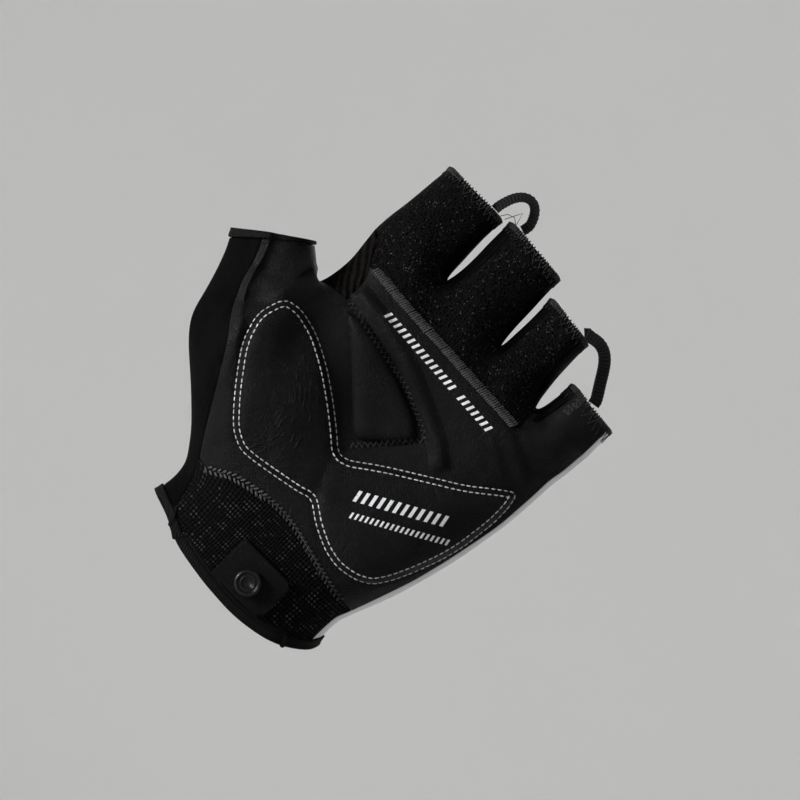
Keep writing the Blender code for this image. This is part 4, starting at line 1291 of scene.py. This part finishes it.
class GLOVE_OT_stage(bpy.types.Operator):
    """Sets up the pale studio, its lights and the camera"""
    bl_idname = "glove.stage"
    bl_label = "Studio"

    def execute(self, context):
        make_finishes()
        profile = [(0.0, -stage_drop), (stage_flat * stage_radius, -stage_drop)]
        for step in range(1, stage_bend_steps + 1):
            angle = math.radians(90.0) * step / stage_bend_steps
            profile.append(((stage_flat + stage_bend * math.sin(angle)) * stage_radius,
                            stage_bend * stage_radius * (1.0 - math.cos(angle)) - stage_drop))
        profile.append((stage_radius, stage_height * stage_radius - stage_drop))
        bm = turned(profile, stage_steps)
        mesh = bpy.data.meshes.new("studio_paper")
        bm.to_mesh(mesh)
        bm.free()
        mesh.materials.append(FINISHES["studio_paper"])
        mesh.shade_smooth()
        stage = bpy.data.objects.new("studio_paper", mesh)
        context.scene.collection.objects.link(stage)

        world = bpy.data.worlds.new("studio_air")
        world.use_nodes = True
        air = world.node_tree.nodes["Background"]
        air.inputs["Color"].default_value = air_colour
        air.inputs["Strength"].default_value = air_strength
        context.scene.world = world
        context.scene.view_settings.view_transform = "Standard"
        for name, (place, size, power, facing) in LIGHTS.items():
            light = bpy.data.lights.new(name, "AREA")
            light.shape = "DISK"
            light.size = size
            light.energy = power
            lamp = bpy.data.objects.new(name, light)
            context.scene.collection.objects.link(lamp)
            lamp.location = view_centre + Vector(place)
            aim = Vector(place) * facing
            lamp.rotation_euler = aim.to_track_quat("Z", "Y").to_euler()
            lamp.visible_camera = False

        camera = bpy.data.cameras.new("camera")
        camera.lens = camera.sensor_width * view_distance / view_width
        shot = bpy.data.objects.new("camera", camera)
        context.scene.collection.objects.link(shot)
        towards = Vector((0.0, -1.0, 0.0))
        shot.matrix_world = (Matrix.Translation(view_centre + towards * view_distance)
                             @ towards.to_track_quat("Z", "Y").to_matrix().to_4x4()
                             @ Matrix.Rotation(view_roll, 4, "Z"))
        context.scene.camera = shot
        return {"FINISHED"}


class GLOVE_OT_shell(bpy.types.Operator):
    """Makes the leather, knit and cloth panels and the rolled edges"""
    bl_idname = "glove.shell"
    bl_label = "Panels"

    def execute(self, context):
        make_shell()
        return {"FINISHED"}


class GLOVE_OT_pads(bpy.types.Operator):
    """Makes the three padded overlays"""
    bl_idname = "glove.pads"
    bl_label = "Pads"

    def execute(self, context):
        cover = Cover(SHELL)
        for name, outline in pad_outlines().items():
            SHELL.append(make_pad(name, cover, outline))
        return {"FINISHED"}


class GLOVE_OT_loops(bpy.types.Operator):
    """Makes the two ribbed pull loops and the loose threads by them"""
    bl_idname = "glove.loops"
    bl_label = "Pull loops"

    def execute(self, context):
        make_tape("ribbed_loop_index_middle", "pull_loop_index_middle")
        make_tape("ribbed_loop_ring_little", "pull_loop_ring_little")
        loose = [[Vector(place) * MM for place in path] for path in LOOSE_THREADS]
        threads("loose_threads", loose, loose_thread, "black_thread")
        return {"FINISHED"}


class GLOVE_OT_stud(bpy.types.Operator):
    """Makes the press stud and its patch"""
    bl_idname = "glove.stud"
    bl_label = "Press stud"

    def execute(self, context):
        make_patch()
        make_stud()
        return {"FINISHED"}


class GLOVE_OT_stitches(bpy.types.Operator):
    """Sews the double rows round the heel pad"""
    bl_idname = "glove.stitches"
    bl_label = "Pad stitches"

    def execute(self, context):
        cover = Cover(SHELL)
        size = sizes()
        bm = bmesh.new()
        for line in carpal_rows():
            stitch_row(bm, line, cover, size.stitch_length, size.stitch_pitch,
                       size.stitch_radius, size.stitch_radius * 0.45)
        piece_from("heel_pad_stitches", bm, "white_thread")
        seam = Line(places(TRIANGLE_SEAM))
        spots = []
        count = round(seam.length / zigzag_pitch)
        for number in range(count + 1):
            middle, along = seam.at(seam.length * number / count)
            side = zigzag_half_width if number % 2 else -zigzag_half_width
            spots.append(middle + Vector((-along.y, along.x)) * side)
        threads("triangle_seam_thread", [cover.laid(spots, 0.0001)], zigzag_thread,
                "dark_thread")
        return {"FINISHED"}


class GLOVE_OT_seams(bpy.types.Operator):
    """Sews the overlocked knuckle and wrist seams and the finger cuffs"""
    bl_idname = "glove.seams"
    bl_label = "Overlocked seams"

    def execute(self, context):
        cover = Cover(SHELL)
        size = sizes()
        shell = {obj.name: obj for obj in SHELL}
        knuckle = seam_line(shell["grained_palm"], shell["knit_fingers"], KNUCKLE_SEAM)
        threads("knuckle_seam_thread",
                overlock(knuckle, cover, size.knuckle_seam_width),
                knuckle_thread, "grey_thread")
        wrist = seam_line(shell["knit_wrist"], shell["grained_palm"], WRIST_SEAM)
        for name, finish, width, radius, first_share, last_share in BRAIDS:
            bm = bmesh.new()
            braid(bm, wrist, cover, width, radius, first_share, last_share)
            piece_from(name, bm, finish)
        zigzags, loops = [], []
        for name, row in FINGER_RIMS.items():
            rim = named(RIM_COLUMNS, row)
            loops += rim_loops(rim, cover)
            zigzags.append(cuff_path(rim, cover, zigzag_deep[name]))
        threads("cuff_zigzags", zigzags, cuff_thread, "dark_thread")
        threads("cuff_edge_loops", loops, edge_thread, "black_thread")
        rolls = [side_roll_path(Line(places(route)), cover) for route in SIDE_ROLLS]
        threads("finger_side_rolls", rolls, side_roll, "stretch_cloth")
        boxes = []
        for centre in places(BOX_STITCHES):
            corners = [centre + Vector(corner) * box_half for corner in BOX_CORNERS]
            boxes.append(cover.laid(corners, thread_lift))
        threads("hem_box_stitches", boxes, box_thread, "grey_thread")
        hem = seam_line(shell["rolled_wrist_edge"], shell["knit_wrist"], HEM)
        path = []
        for number in range(hem_steps + 1):
            spot, _ = hem.at(hem.length * number / hem_steps)
            point, normal = cover.front(spot.x, spot.y + hem_rise)
            path.append(point - normal * hem_sink)
        threads("hem_roll", [path], hem_roll, "binding_cloth")
        return {"FINISHED"}


class GLOVE_OT_print(bpy.types.Operator):
    """Prints the plain silver bars on the palm"""
    bl_idname = "glove.print"
    bl_label = "Printed bars"

    def execute(self, context):
        print_bars(Cover(SHELL))
        return {"FINISHED"}


OPERATORS = (GLOVE_OT_stage, GLOVE_OT_shell, GLOVE_OT_pads, GLOVE_OT_stud, GLOVE_OT_loops,
             GLOVE_OT_stitches, GLOVE_OT_seams, GLOVE_OT_print)


class GLOVE_PT_panel(bpy.types.Panel):
    """Sizes, colours and steps of the glove"""
    bl_idname = "GLOVE_PT_panel"
    bl_label = "Cycling Glove"
    bl_space_type = "VIEW_3D"
    bl_region_type = "UI"
    bl_category = "Glove"

    def draw(self, context):
        for settings in (context.scene.glove_sizes, context.scene.glove_colours):
            box = self.layout.box()
            for key in settings.__annotations__:
                box.prop(settings, key)
        for operator in OPERATORS:
            self.layout.operator(operator.bl_idname)


CLASSES = (GLOVE_PG_sizes, GLOVE_PG_colours, *OPERATORS, GLOVE_PT_panel)


def register():
    for cls in CLASSES:
        bpy.utils.register_class(cls)
    bpy.types.Scene.glove_sizes = bpy.props.PointerProperty(type=GLOVE_PG_sizes)
    bpy.types.Scene.glove_colours = bpy.props.PointerProperty(type=GLOVE_PG_colours)


def unregister():
    del bpy.types.Scene.glove_colours
    del bpy.types.Scene.glove_sizes
    for cls in reversed(CLASSES):
        bpy.utils.unregister_class(cls)


def main():
    register()
    bpy.ops.glove.stage()
    bpy.ops.glove.shell()
    bpy.ops.glove.pads()
    bpy.ops.glove.stud()
    bpy.ops.glove.loops()
    bpy.ops.glove.stitches()
    bpy.ops.glove.seams()
    bpy.ops.glove.print()


if __name__ == "__main__":
    main()
